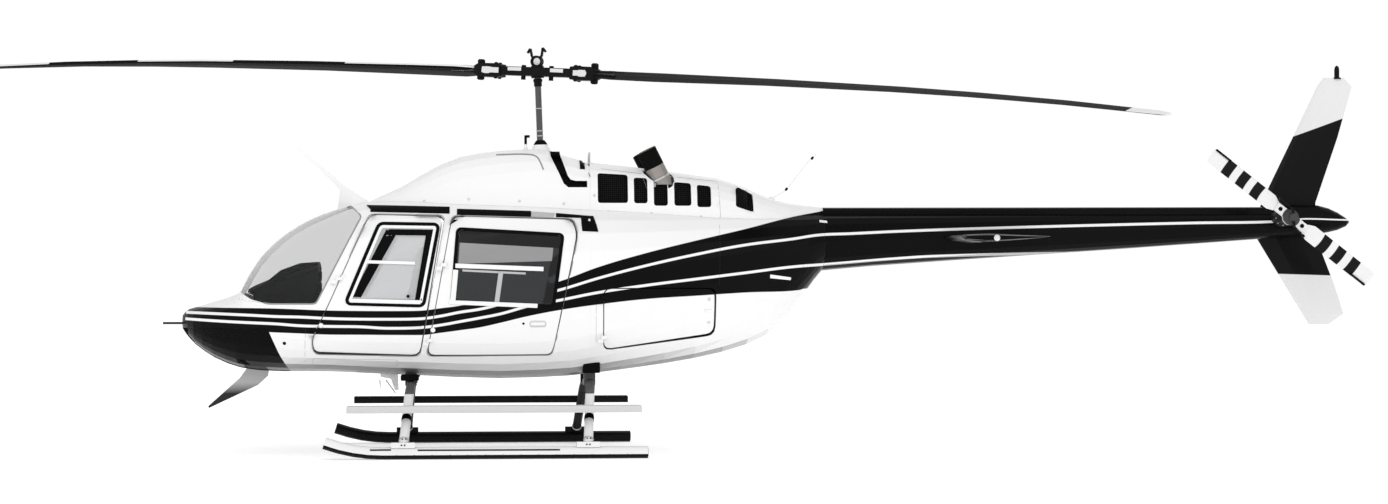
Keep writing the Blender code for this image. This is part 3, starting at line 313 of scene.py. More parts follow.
# name, colour, roughness, specular, tone, spread, grain, bump and what else a finish has
FINISHES = (
    ("clear_glass", (0.09, 0.092, 0.095), 0.04, 0.10, 0.03, 0.02, 30, 0, {"alpha": 0.12}),
    ("door_glass", (0.72, 0.73, 0.74), 0.04, 0.15, 0.05, 0.02, 30, 0, {"alpha": 0.42}),
    ("tinted_glass", (0.045, 0.047, 0.05), 0.05, 0.15, 0.1, 0.02, 30, 0, {"alpha": 0.82}),
    ("dark_tint", (0.02, 0.02, 0.021), 0.10, 0.08, 0.2, 0.04, 30, 0, {"alpha": 0.94}),
    ("grey_pane", (0.32, 0.32, 0.325), 0.12, 0.35, 0.10, 0.04, 30, 0, {"alpha": 0.90}),
    ("chin_glass", (0.004, 0.004, 0.0045), 0.06, 0.05, 0.1, 0.02, 30, 0, {"alpha": 0.86}),
    ("light_plate", 0.70, 0.45, 0.2, 0.15, 0.15, 160, 0.0005, {}),
    ("bare_steel", (0.52, 0.52, 0.53), 0.34, 0.5, 0.12, 0.25, 220, 0.0004, {"metallic": 1}),
    ("mast_steel", (0.10, 0.10, 0.104), 0.30, 0.5, 0.15, 0.2, 240, 0.0004, {"metallic": 0.8}),
    ("head_metal", (0.006, 0.006, 0.0065), 0.45, 0.08, 0.3, 0.25, 160, 0.0006, {}),
    ("light_metal", (0.66, 0.66, 0.67), 0.45, 0.5, 0.12, 0.2, 200, 0.0004, {"metallic": 0.6}),
    ("dark_metal", (0.02, 0.02, 0.021), 0.45, 0.15, 0.25, 0.25, 160, 0.0006,
     {"metallic": 0.3, "dust": 0.1}),
    ("burnt_steel", (0.30, 0.28, 0.26), 0.5, 0.5, 0.3, 0.3, 120, 0.0008, {"metallic": 0.9}),
    # real soot on the exhaust; near-black painted shade on the grille backs and the intake screens
    ("soot_and_shade_black", (0.004, 0.0038, 0.0036), 0.8, 0.05, 0.3, 0.2, 140, 0.001, {}),
    ("black_plastic", (0.005, 0.005, 0.0053), 0.5, 0.08, 0.2, 0.15, 260, 0.0006, {}),
    ("rubber", 0.0035, 0.62, 0.04, 0.2, 0.15, 180, 0.0006, {}),
    ("grey_seal", 0.30, 0.6, 0.3, 0.1, 0.12, 180, 0.0004, {}),
    ("grey_paint", 0.50, 0.4, 0.3, 0.06, 0.1, 150, 0.0003, {}),
    ("webbing", (0.03, 0.03, 0.032), 0.75, 0.2, 0.15, 0.1, 90, 0.0008, {"weave": 2200}),
    ("lens_clear", (0.86, 0.88, 0.90), 0.08, 0.6, 0.04, 0.03, 60, 0.0006, {"alpha": 0.85}),
    ("cutter_paint", 0.50, 0.45, 0.2, 0.06, 0.1, 150, 0.0003,
     {"second": 0.02, "mask": "cutter_tip"}),
)


def new_look(name, colour, roughness, specular, tone, spread, grain, bump, metallic=0.0, alpha=1.0,
        dust=0.0, second=None, mask=None, mask_values=(), weave=None):
    """A Principled material over the wear group, with a second colour where a mask says.

    A colour given as one number is a grey."""
    colour, second = (c if isinstance(c, tuple) else (c,) * 3 for c in (colour, second))
    look = LOOKS[name] = bpy.data.materials.new(name)
    look.use_nodes = True
    shader = look.node_tree.nodes["Principled BSDF"]
    wires = Wiring(look.node_tree)

    def group(kind, values):
        node = wires.add("ShaderNodeGroup", node_tree=bpy.data.node_groups[kind])
        for key, value in values.items():
            node.inputs[key].default_value = value
        return node

    wear = group("surface_wear", {"Tone": tone, "Roughness": roughness, "Spread": spread,
        "Grain Scale": grain, "Dust": dust})
    base, height = (*colour, 1), wear.outputs["Height"]
    if mask:
        marks = group(mask, dict(mask_values)).outputs
        # a mask's Shade output darkens the first colour: painted shade
        first = wires.scaled(colour, marks["Shade"]) if "Shade" in marks else base
        base = wires.mix(marks["Black"], first, (*second, 1))
    if weave:
        cloth = group("woven_cloth", {"Color": base, "Threads": weave}).outputs
        base, height = cloth["Color"], cloth["Height"]
    wires.feed(wear.inputs["Color"], base)
    relief = wires.add("ShaderNodeBump")
    for socket, value in ((relief.inputs["Strength"], 0.35), (relief.inputs["Distance"], bump),
            (relief.inputs["Height"], height), (shader.inputs["Base Color"],
            wear.outputs["Color"]), (shader.inputs["Roughness"], wear.outputs["Roughness"]),
            (shader.inputs["Normal"], relief.outputs[0]), (shader.inputs["Metallic"], metallic),
            (shader.inputs["Specular IOR Level"], specular), (shader.inputs["Alpha"], alpha)):
        wires.feed(socket, value)


def build_inboard_shade_group():
    """Painted shade: black on the half of the gear that faces the aircraft's middle, where the
    gear is in shade. Black too on faces turned down past Under Face, partly the skid's wear shoe
    and partly painted shade, and near-black above the Dark Above height.
    """
    wires, source, sink = new_group("inboard_shade_black", (("Inner Face", "Float", 0.02),
        ("Under Face", "Float", -2.0), ("Dark Above", "Float", 9.0)), (("Black", "Float"),))
    _, split, facing = wires.place()
    outward = wires.math("MULTIPLY", wires.math("SIGN", split[1]), facing[1])
    inner = wires.math("GREATER_THAN", source["Inner Face"], outward)
    under = wires.math("GREATER_THAN", source["Under Face"], facing[2])
    steel = wires.math("GREATER_THAN", split[2], source["Dark Above"])
    wires.feed(sink["Black"], wires.math("MAXIMUM", wires.math("MAXIMUM", inner, under),
        wires.math("MULTIPLY", steel, 0.88)))


def build_fin_group():
    """The black field of the fin between two slanting lines."""
    wires, _, sink = new_group("fin_livery", (), (("Black", "Float"),))
    _, split, _ = wires.place()
    top = wires.math("MULTIPLY_ADD", wires.math("SUBTRACT", split[0], 5.245), 0.360, 2.546)
    foot = wires.math("MULTIPLY_ADD", wires.math("SUBTRACT", split[0], 5.15), -0.03, 1.41)
    wires.feed(sink["Black"], between(wires, split[2], foot, top))


def build_tip_group():
    """The dark lower end of the wire cutter under the nose."""
    wires, _, sink = new_group("cutter_tip", (), (("Black", "Float"),))
    _, split, _ = wires.place()
    wires.feed(sink["Black"], wires.reach(split[2], 0.55, 0.46))


# ---------------------------------------------------------------- mesh making
def rest():
    """Leaves edit mode and deselects everything."""
    if bpy.context.object is not None and bpy.context.object.mode != "OBJECT":
        bpy.ops.object.mode_set(mode="OBJECT")
    bpy.ops.object.select_all(action="DESELECT")


def edit_all():
    """Edit mode with the whole mesh selected."""
    bpy.ops.object.mode_set(mode="EDIT")
    bpy.ops.mesh.select_all(action="SELECT")


def hold(piece):
    rest()
    piece.select_set(True)
    bpy.context.view_layer.objects.active = piece
    return piece


def added(name):
    piece = bpy.context.object
    piece.name = piece.data.name = name
    return piece


def settle(piece):
    """Moves the piece's place into its mesh."""
    hold(piece)
    bpy.ops.object.transform_apply(location=True, rotation=True, scale=True)
    return piece


def apply(piece, kind, **settings):
    """Adds one modifier and applies it."""
    hold(piece)
    modifier = piece.modifiers.new(kind.lower(), kind)
    for key, value in settings.items():
        setattr(modifier, key, value)
    bpy.ops.object.modifier_apply(modifier=modifier.name)
    return piece


def soften(piece, width, segments=2, angle=0.9):
    return apply(piece, "BEVEL", width=width, segments=segments, limit_method="ANGLE",
        angle_limit=angle)


def outward(piece):
    """Merges doubles and turns the faces outwards."""
    hold(piece)
    edit_all()
    bpy.ops.mesh.remove_doubles(threshold=0.00005)
    bpy.ops.mesh.normals_make_consistent(inside=False)
    rest()
    return piece


# the slot that a look goes in, where it isn't called the same
SLOTS = {"boom_paint": "black_paint", "grey_paint": "white_paint", "grey_seal": "black_plastic",
    "head_metal": "dark_metal", "lens_clear": "clear_glass", "light_metal": "bare_steel",
    "light_plate": "blade_white", "plain_white": "white_paint", "rubber": "black_plastic",
    "seam_paint": "white_paint", "soot_and_shade_black": "dark_metal", "step_paint": "gear_white",
    "webbing": "seat_cover"}


def fit(piece, look, slot=None, body="airframe", angle=38):
    """Gives a finished piece its material and its body."""
    hold(piece)
    piece.data.materials.clear()
    piece.data.materials.append(LOOKS[look])
    bpy.ops.object.shade_smooth_by_angle(angle=math.radians(angle))
    slot or SLOTS.get(look, look)
    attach(piece, body)
    return piece


def block(name, low, high, round_off=0.003, turn=(0, 0, 0), taper=None):
    """A box with rounded edges between two corners, its top drawn in by taper."""
    rest()
    low, high = Vector(low), Vector(high)
    bpy.ops.mesh.primitive_cube_add(size=1, location=(low + high) / 2, rotation=turn,
        scale=high - low)
    piece = settle(added(name))
    bpy.ops.object.mode_set(mode="EDIT")
    if taper:
        mesh = bmesh.from_edit_mesh(piece.data)
        for vert in mesh.verts:
            vert.select_set(vert.co.z > (low.z + high.z) / 2)
        mesh.select_flush_mode()
        bmesh.update_edit_mesh(piece.data)
        bpy.ops.transform.resize(value=(taper[0], taper[1], 1),
            center_override=((low.x + high.x) / 2, (low.y + high.y) / 2, high.z))
    bpy.ops.mesh.select_all(action="SELECT")
    bpy.ops.mesh.bevel(offset=round_off, segments=2, affect="EDGES")
    rest()
    return piece


def side_block(name, side, low, high, round_off):
    """A block given for the right side, mirrored where side is -1."""
    near, far = sorted((side * low[1], side * high[1]))
    return block(name, (low[0], near, low[2]), (high[0], far, high[2]), round_off)


def rod(name, start, end, radius, sides=20, round_off=None):
    """A round bar between two points with rounded rims."""
    start, end = Vector(start), Vector(end)
    line = end - start
    rest()
    bpy.ops.mesh.primitive_cylinder_add(vertices=sides, radius=radius, depth=line.length,
        location=(start + end) / 2, rotation=line.to_track_quat("Z", "Y").to_euler())
    return soften(settle(added(name)), radius * 0.18 if round_off is None else round_off)


def turned(name, profile, origin=(0, 0, 0), axis=(0, 0, 1), sides=32):
    """A turned piece: profile lists (radius, height) from one end to the other."""
    rest()
    bpy.ops.mesh.primitive_circle_add(vertices=sides, radius=profile[0][0], fill_type="NGON",
        location=(0, 0, profile[0][1]))
    piece = added(name)
    edit_all()
    radius, height = profile[0]
    for wide, high in profile[1:]:
        bpy.ops.mesh.extrude_region_move(TRANSFORM_OT_translate={"value": (0, 0, high - height)})
        if wide != radius:
            share = wide / radius
            bpy.ops.transform.resize(value=(share, share, 1), center_override=(0, 0, high))
        radius, height = wide, high
    rest()
    piece.rotation_euler = Vector(axis).to_track_quat("Z", "Y").to_euler()
    piece.location = Vector(origin) + Vector(axis).normalized() * profile[0][1]
    return outward(settle(piece))


def flowing(points, steps=6):
    """Points of a smooth path through the given ones."""
    points = [Vector(p) for p in points]
    ends = [points[0] * 2 - points[1], *points, points[-1] * 2 - points[-2]]
    path = []
    for a, b, c, d in zip(ends, ends[1:], ends[2:], ends[3:]):
        for step in range(steps):
            t = step / steps
            path.append(0.5 * (2 * b + (c - a) * t + (2 * a - 5 * b + 4 * c - d) * t * t + (3 * b -
                a - 3 * c + d) * t ** 3))
    return path + [points[-1]]


def pipe(name, points, radius, smooth=6, rings=3):
    """A round tube that follows a path."""
    path = flowing(points, smooth) if smooth else [Vector(p) for p in points]
    rest()
    bpy.ops.curve.primitive_nurbs_path_add()
    piece = added(name)
    curve = piece.data
    curve.splines.clear()
    spline = curve.splines.new("POLY")
    spline.points.add(len(path) - 1)
    for point, place in zip(spline.points, path):
        point.co = (*place, 1)
    curve.dimensions = "3D"
    curve.bevel_depth = radius
    curve.bevel_resolution = rings
    curve.use_fill_caps = True
    hold(piece)
    bpy.ops.object.convert(target="MESH")
    piece = bpy.context.object
    piece.name = piece.data.name = name
    return outward(settle(piece))


def joined(name, pieces):
    """Several pieces made into one mesh."""
    rest()
    for piece in pieces:
        piece.select_set(True)
    bpy.context.view_layer.objects.active = pieces[0]
    if len(pieces) > 1:
        bpy.ops.object.join()
    piece = bpy.context.object
    piece.name = piece.data.name = name
    return piece


def sheet_plate(name, outline, plane, thick, round_off=0.0008):
    """A flat plate: outline is (a, b) points and plane maps them to the frame."""
    rest()
    bpy.ops.mesh.primitive_circle_add(vertices=len(outline), radius=1, fill_type="NGON")
    piece = added(name)
    for vert, spot in zip(piece.data.vertices, outline):
        vert.co = plane(*spot)
    apply(piece, "SOLIDIFY", thickness=thick, offset=0)
    if round_off:
        soften(piece, round_off)
    return outward(piece)


def tree_of(*meshes, turn=Matrix()):
    """A search tree over the faces of some meshes, carried by a matrix first."""
    points, faces = [], []
    for mesh in meshes:
        base = len(points)
        points += [turn @ vert.co for vert in mesh.vertices]
        faces += [tuple(base + i for i in face.vertices) for face in mesh.polygons]
    return BVHTree.FromPolygons(points, faces)


def solid(name):
    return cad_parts[name].data


class Skin:
    """The outer surface of some CAD nodes, as seen from the side or from above."""

    def __init__(self, *names):
        self.tree = tree_of(*map(solid, names))

    def seen(self, start, direction):
        place, normal, _, _ = self.tree.ray_cast(Vector(start), Vector(direction))
        if place is None:
            place, normal, _, _ = self.tree.find_nearest(Vector(start) + Vector(direction) * 2.35)
        if normal.dot(Vector(direction)) > 0:
            normal = -normal
        return place, normal

    def side(self, x, z, side, proud=0.0):
        place, normal = self.seen((x, side * 3, z), (0, -side, 0))
        return place + normal * proud

    def top(self, x, y, proud=0.0):
        place, normal = self.seen((x, y, 5), (0, 0, -1))
        return place + normal * proud


def patch(name, spot, along, across, thick, merge=False):
    """A thin piece that follows a surface: spot(u, w) gives each point's place."""
    rest()
    bpy.ops.mesh.primitive_grid_add(x_subdivisions=along, y_subdivisions=across, size=1)
    piece = added(name)
    for vert in piece.data.vertices:
        vert.co = spot(vert.co.x + 0.5, vert.co.y + 0.5)
    if merge:
        outward(piece)
    return apply(piece, "SOLIDIFY", thickness=thick, offset=0)


def fine_path(path, step, closed=False):
    """Points along straight runs, no further apart than step, corners kept."""
    path = [Vector(p) for p in path]
    if closed:
        path.append(path[0])
    fine = [path[0]]
    for a, b in zip(path, path[1:]):
        count = max(1, math.ceil((b - a).length / step))
        fine += [a.lerp(b, (i + 1) / count) for i in range(count)]
    return fine


def strip(name, surface, path, width, thick=0.004, step=0.035, closed=False, smooth=0, shift=0.0):
    """A band of even width along a path on the skin: surface(x, z) gives the place."""
    path = [Vector(p) for p in path]
    if smooth:
        path = flowing(path, smooth)
    fine = fine_path(path, step, closed)
    last = len(fine) - 1
    offsets = []
    for index, point in enumerate(fine):
        before = fine[index - 1] if index else (fine[-2] if closed else point)
        after = fine[index + 1] if index < last else (fine[1] if closed else point)
        legs = [leg.normalized() for leg in (point - before, after - point) if leg.length > 1e-6]
        sideways = [Vector((-leg.y, leg.x)) for leg in legs]
        mean = sum(sideways, Vector((0, 0))).normalized()
        offsets.append(mean / max(0.5, mean.dot(sideways[0])))
    across = 2 if width > 0.012 else 1

    def spot(u, w):
        index = round(u * last)
        place = fine[index] + offsets[index] * ((w - 0.5) * width + shift)
        return surface(place.x, place.y)

    return patch(name, spot, last, across, thick, merge=closed)


def area(name, surface, corners, along, across, thick=0.003):
    """A four-cornered field on the skin: corners in order round it."""
    a, b, c, d = (Vector(p) for p in corners)

    def spot(u, w):
        place = a.lerp(b, u).lerp(d.lerp(c, u), w)
        return surface(place.x, place.y)

    return patch(name, spot, along, across, thick)


def studs(name, places, radius, height, sides=8):
    """Copies of one domed rivet, joined: places are (point, direction)."""
    rest()
    bpy.ops.mesh.primitive_cylinder_add(vertices=sides, radius=radius, depth=height * 2)
    piece = added(name)
    bpy.ops.object.mode_set(mode="EDIT")
    mesh = bmesh.from_edit_mesh(piece.data)
    for vert in mesh.verts:
        vert.select_set(vert.co.z > 0)
    mesh.select_flush_mode()
    bmesh.update_edit_mesh(piece.data)
    bpy.ops.mesh.bevel(offset=height * 0.6, segments=2, affect="EDGES")
    rest()
    points = [vert.co.copy() for vert in piece.data.vertices]
    faces = [tuple(face.vertices) for face in piece.data.polygons]
    all_points, all_faces = [], []
    for place, direction in places:
        turn = Vector(direction).to_track_quat("Z", "Y")
        base = len(all_points)
        all_points += [Vector(place) + turn @ point for point in points]
        all_faces += [tuple(base + i for i in face) for face in faces]
    mesh = bpy.data.meshes.new(name)
    mesh.from_pydata(all_points, [], all_faces)
    piece.data = mesh
    return piece


def moved(piece, matrix):
    """Carries a finished piece to another place."""
    piece.data.transform(matrix)
    return piece


SKY_LIGHT = 0.80


# ---------------------------------------------------------------- settings
class PaintSettings(bpy.types.PropertyGroup):
    """Colours of the paint and the width of the white lines."""
    white: FloatVectorProperty(name="White", description="Main body colour", subtype="COLOR",
        default=(0.90, 0.90, 0.90), min=0, max=1)
    black: FloatVectorProperty(name="Black", description="Band, chin and boom colour",
        subtype="COLOR", default=(0.0035, 0.0035, 0.0035), min=0, max=1)
    line_width: FloatProperty(name="White line width", description="Width of the two side lines",
        unit="LENGTH", default=0.021, min=0.005, max=0.08)


class CabinSettings(bpy.types.PropertyGroup):
    """Cabin furnishings."""
    cloth: FloatVectorProperty(name="Seat cloth", description="Colour of the seat covers",
        subtype="COLOR", default=(0.58, 0.57, 0.55), min=0, max=1)
    trim: FloatVectorProperty(name="Trim", description="Colour of carpet and side trim",
        subtype="COLOR", default=(0.20, 0.20, 0.20), min=0, max=1)
    swell: FloatProperty(name="Seat swell", description="Most that a cushion may swell",
        unit="LENGTH", default=0.022, min=0.005, max=0.04)


class RotorSettings(bpy.types.PropertyGroup):
    """Main and tail rotor fittings."""
    bolt: FloatProperty(name="Bolt radius", description="Radius of the grip bolts' heads",
        unit="LENGTH", default=0.020, min=0.008, max=0.04)
    band: FloatProperty(name="Tail band", description="Width of a black band on a tail blade",
        unit="LENGTH", default=0.082, min=0.01, max=0.12)


class GearSettings(bpy.types.PropertyGroup):
    """Skid gear fittings."""
    tread: IntProperty(name="Tread strips", description="Grip strips along each step", default=22,
        min=4, max=60)


class StageSettings(bpy.types.PropertyGroup):
    """Floor, lights and camera."""
    floor: FloatProperty(name="Floor size", description="Width of the floor", unit="LENGTH",
        default=240.0, min=20, max=600)
    key_light: FloatProperty(name="Key light", description="Power of the main soft light",
        unit="POWER", default=420.0, min=0, max=10000)
    lens: FloatProperty(name="Lens", description="Focal length in millimetres", default=71.07,
        min=20, max=200)


# ---------------------------------------------------------------- operators
class HELICOPTER_OT_paint(bpy.types.Operator):
    """Builds the materials and gives each solid its own"""
    bl_idname = "helicopter.paint"
    bl_label = "Paint"

    def execute(self, context):
        paint = context.scene.helicopter_paint
        cabin = context.scene.helicopter_cabin
        white, black = tuple(paint.white), tuple(paint.black)
        for build in (build_wear_group, build_livery_group, build_band_group, build_weave_group,
                build_inboard_shade_group, build_fin_group, build_tip_group):
            build()
        for *values, more in FINISHES:
            new_look(*values, **more)

        def striped(name, colour, values, second, width=1.0):
            new_look(name, colour, *values, second=second, mask="side_livery",
                mask_values={"Line Width": paint.line_width * width})

        boom = (0.24, 0.05, 0.02, 0.08, 150, 0.0003)
        striped("white_paint", white, (0.22, 0.06, 0.02, 0.05, 160, 0.0002), black)
        striped("seam_paint", 0.42, (0.4, 0.1, 0.05, 0.06, 140, 0.0002), 0.02)
        striped("boom_paint", white, boom, black)
        striped("cone_paint", white, boom, black, 0.55)
        new_look("plain_white", white, 0.28, 0.3, 0.03, 0.05, 140, 0.0002)
        new_look("black_paint", black, 0.26, 0.05, 0.2, 0.08, 150, 0.0003)
        new_look("fin_paint", 0.74, 0.28, 0.10, 0.03, 0.06, 140, 0.0002, second=black,
            mask="fin_livery")
        new_look("cabin_trim", tuple(cabin.trim), 0.8, 0.2, 0.12, 0.1, 90, 0.0012, weave=900)
        new_look("seat_cover", tuple(cabin.cloth), 0.82, 0.25, 0.10, 0.1, 90, 0.0008, weave=1500)
        # white gear paint with painted shade: black on the inboard half, and on the skids'
        # undersides partly wear shoe, partly painted shade
        for name, under, steel, tone in (("skid_paint", -0.45, 9.0, 0.84),
                ("leg_paint", -2.0, 0.475, 0.84), ("step_paint", -2.0, 9.0, 0.66)):
            new_look(name, tone, 0.40, 0.12, 0.05, 0.15, 120, 0.0005, second=0.003,
                mask="inboard_shade_black", mask_values={"Under Face": under, "Dark Above": steel})

        def banded(name, values, second, axis, ends, down=0.0):
            bands = dict(zip(("Axis X", "Axis Y", "Axis Z"), axis), **{"Faces Down": down})
            for n, (near, far) in enumerate(ends, 1):
                bands.update({f"From {n}": near, f"To {n}": far})
            new_look(name, 0.80, *values, second=second, mask="blade_bands", mask_values=bands)

        blade = (0.6, 0.03, 0.05, 0.2, 70, 0.0006)
        banded("forward_blade", blade, 0.004, HUB, ((1.67, 2.70), (3.60, 4.46)), 1.0)
        # painted shade: the aft blade is black from the root to 4.80 m for the shade on its
        # trailing edge and underside; only its tip is white
        banded("aft_blade", blade, 0.004, HUB, ((0.0, 4.80),), 1.0)
        half = context.scene.helicopter_rotor.band / 2
        banded("tail_blade", (0.38, 0.12, 0.04, 0.15, 90, 0.0005), 0.004, TAIL_HUB,
            [(radius - half, radius + half) for radius in (0.354, 0.497, 0.643)])
        banded("tail_hub", (0.42, 0.2, 0.1, 0.15, 120, 0.0006), 0.05,
            (TAIL_HUB.x, -0.46, TAIL_HUB.z), ((0.0, 0.078),))
        looks = {"front_door_window": "door_glass", "rear_door_window": "tinted_glass",
            "windshield": "clear_glass", "chin_window": "chin_glass",
            "main_blade_a": "forward_blade", "main_blade_b": "aft_blade",
            "tail_blade": "tail_blade", "vertical_fin": "fin_paint", "tail_boom": "boom_paint",
            "tail_cone": "cone_paint", "skid_": "skid_paint", "step_": "step_paint",
            "cross_tube": "leg_paint", "exhaust": "burnt_steel", "rotor_yoke": "head_metal",
            "upper_wire_cutter": "plain_white", "lower_wire_cutter": "cutter_paint",
            "tail_rotor_hub": "tail_hub", "pitot": "dark_metal", "mast": "mast_steel",
            "blade_grip": "head_metal", "flapping": "head_metal", "belly_lamp": "plain_white"}
        for name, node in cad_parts.items():
            slot = node.data.materials[0].name.split(".")[0]
            chosen = next((look for key, look in looks.items() if key in name), slot)
            node.data.materials.clear()
            node.data.materials.append(LOOKS[chosen])
        return {"FINISHED"}


class HELICOPTER_OT_stage(bpy.types.Operator):
    """Adds the floor, the soft lights, the world and the camera"""
    bl_idname = "helicopter.stage"
    bl_label = "Stage"

    def execute(self, context):
        stage = context.scene.helicopter_stage
        rest()
        bpy.ops.mesh.primitive_plane_add(size=stage.floor, location=(0, 0, -0.002))
        floor = settle(added("studio_floor"))
        edit_all()
        bpy.ops.mesh.subdivide(number_cuts=3)
        rest()
        look = bpy.data.materials.new("studio_floor")
        look.use_nodes = True
        wires = Wiring(look.node_tree)
        shader = look.node_tree.nodes["Principled BSDF"]
        point, _, _ = wires.place()
        shade = wires.reach(wires.noise(0.8, point), 0.2, 0.8, 0.95, 0.97)
        wires.feed(shader.inputs["Base Color"], wires.mix(shade, (0, 0, 0, 1), (1, 1, 1, 1)))
        shader.inputs["Roughness"].default_value = 0.9
        shader.inputs["Specular IOR Level"].default_value = 0.0
        shader.inputs["Emission Color"].default_value = (1, 1, 1, 1)
        shader.inputs["Emission Strength"].default_value = 0.34
        floor.data.materials.append(look)
        for name, place, size, power in (("key_light", (-6, -14, 12), 9, stage.key_light),
                ("fill_light", (9, -12, 8), 9, stage.key_light * 0.5),
                ("back_light", (2, 14, 12), 10, stage.key_light * 0.5)):
            rest()
            bpy.ops.object.light_add(type="AREA", location=place)
            light = bpy.context.object
            light.name = light.data.name = name
            light.data.size = size
            light.data.energy = power
            aim = Vector((0.8, 0, 1.4)) - light.location
            light.rotation_euler = aim.to_track_quat("-Z", "Y").to_euler()
        world = bpy.data.worlds.new("studio_sky")
        context.scene.world = world
        world.use_nodes = True
        sky = world.node_tree.nodes["Background"]
        sky.inputs["Color"].default_value = (1, 1, 1, 1)
        wires = Wiring(world.node_tree)
        seen = wires.add("ShaderNodeLightPath").outputs["Is Camera Ray"]
        wires.feed(sky.inputs["Strength"], wires.reach(seen, 0.0, 1.0, SKY_LIGHT, 1.02))
        rest()
        bpy.ops.object.camera_add(location=(-1.682, -22.0, 1.39), rotation=(math.radians(90.51), 0,
            math.radians(-5.05)))
        camera = bpy.context.object
        camera.name = camera.data.name = "camera"
        camera.data.lens = stage.lens
        camera.data.sensor_width = 36
        camera.data.clip_end = 400
        context.scene.camera = camera
        context.scene.view_settings.view_transform = "Standard"
        return {"FINISHED"}


# Outlines on the side, corners as (x, z)
FRONT_PANE = ((-2.483, 1.192), (-1.913, 1.176), (-1.800, 1.781), (-2.237, 1.788))
REAR_PANE = ((-1.681, 1.191), (-0.896, 1.159), (-0.819, 1.713), (-1.635, 1.758))
FRONT_DOOR_EDGE = ((-2.750, 0.785), (-1.925, 0.768), (-1.733, 1.868), (-2.325, 1.880),
    (-2.621, 1.207), (-2.765, 0.900))
REAR_DOOR_EDGE = ((-1.880, 0.768), (-0.905, 0.775), (-0.880, 0.860), (-0.697, 1.720),
    (-0.730, 1.845), (-1.683, 1.868))
WINDSHIELD_EDGE = ((-3.375, 1.285), (-3.230, 1.208), (-3.105, 1.176), (-2.730, 1.176),
    (-2.385, 1.862), (-2.487, 1.955))
GRILLES = (
    ((-0.532, 1.971), (-0.293, 1.971), (-0.292, 2.197), (-0.532, 2.210)),
    ((-0.245, 1.969), (-0.137, 1.969), (-0.137, 2.170), (-0.245, 2.175)),
    ((-0.087, 1.950), (0.024, 1.950), (0.024, 2.154), (-0.087, 2.163)),
    ((0.076, 1.950), (0.212, 1.950), (0.212, 2.131), (0.076, 2.141)),
    ((0.259, 1.940), (0.371, 1.940), (0.371, 2.108), (0.259, 2.120)),
    ((0.570, 1.947), (0.715, 1.901), (0.715, 2.047), (0.576, 2.105)),
)
# clear of the boss that carries the exhaust, fore and aft
EXHAUST_FOOT = (-0.15, 0.13)


def rounded_path(corners, radius, steps=4):
    """A closed outline with its corners turned on a radius."""
    corners = [Vector(c) for c in corners]
    path = []
    for index, corner in enumerate(corners):
        before = (corners[index - 1] - corner)
        after = (corners[(index + 1) % len(corners)] - corner)
        cut = min(radius, before.length * 0.4, after.length * 0.4)
        start = corner + before.normalized() * cut
        end = corner + after.normalized() * cut
        for step in range(steps + 1):
            t = step / steps
            path.append(start * (1 - t) ** 2 + corner * (2 * t * (1 - t)) + end * t * t)
    return path


def on_side(skin, side, proud):
    return lambda x, z: skin.side(x, z, side, proud)


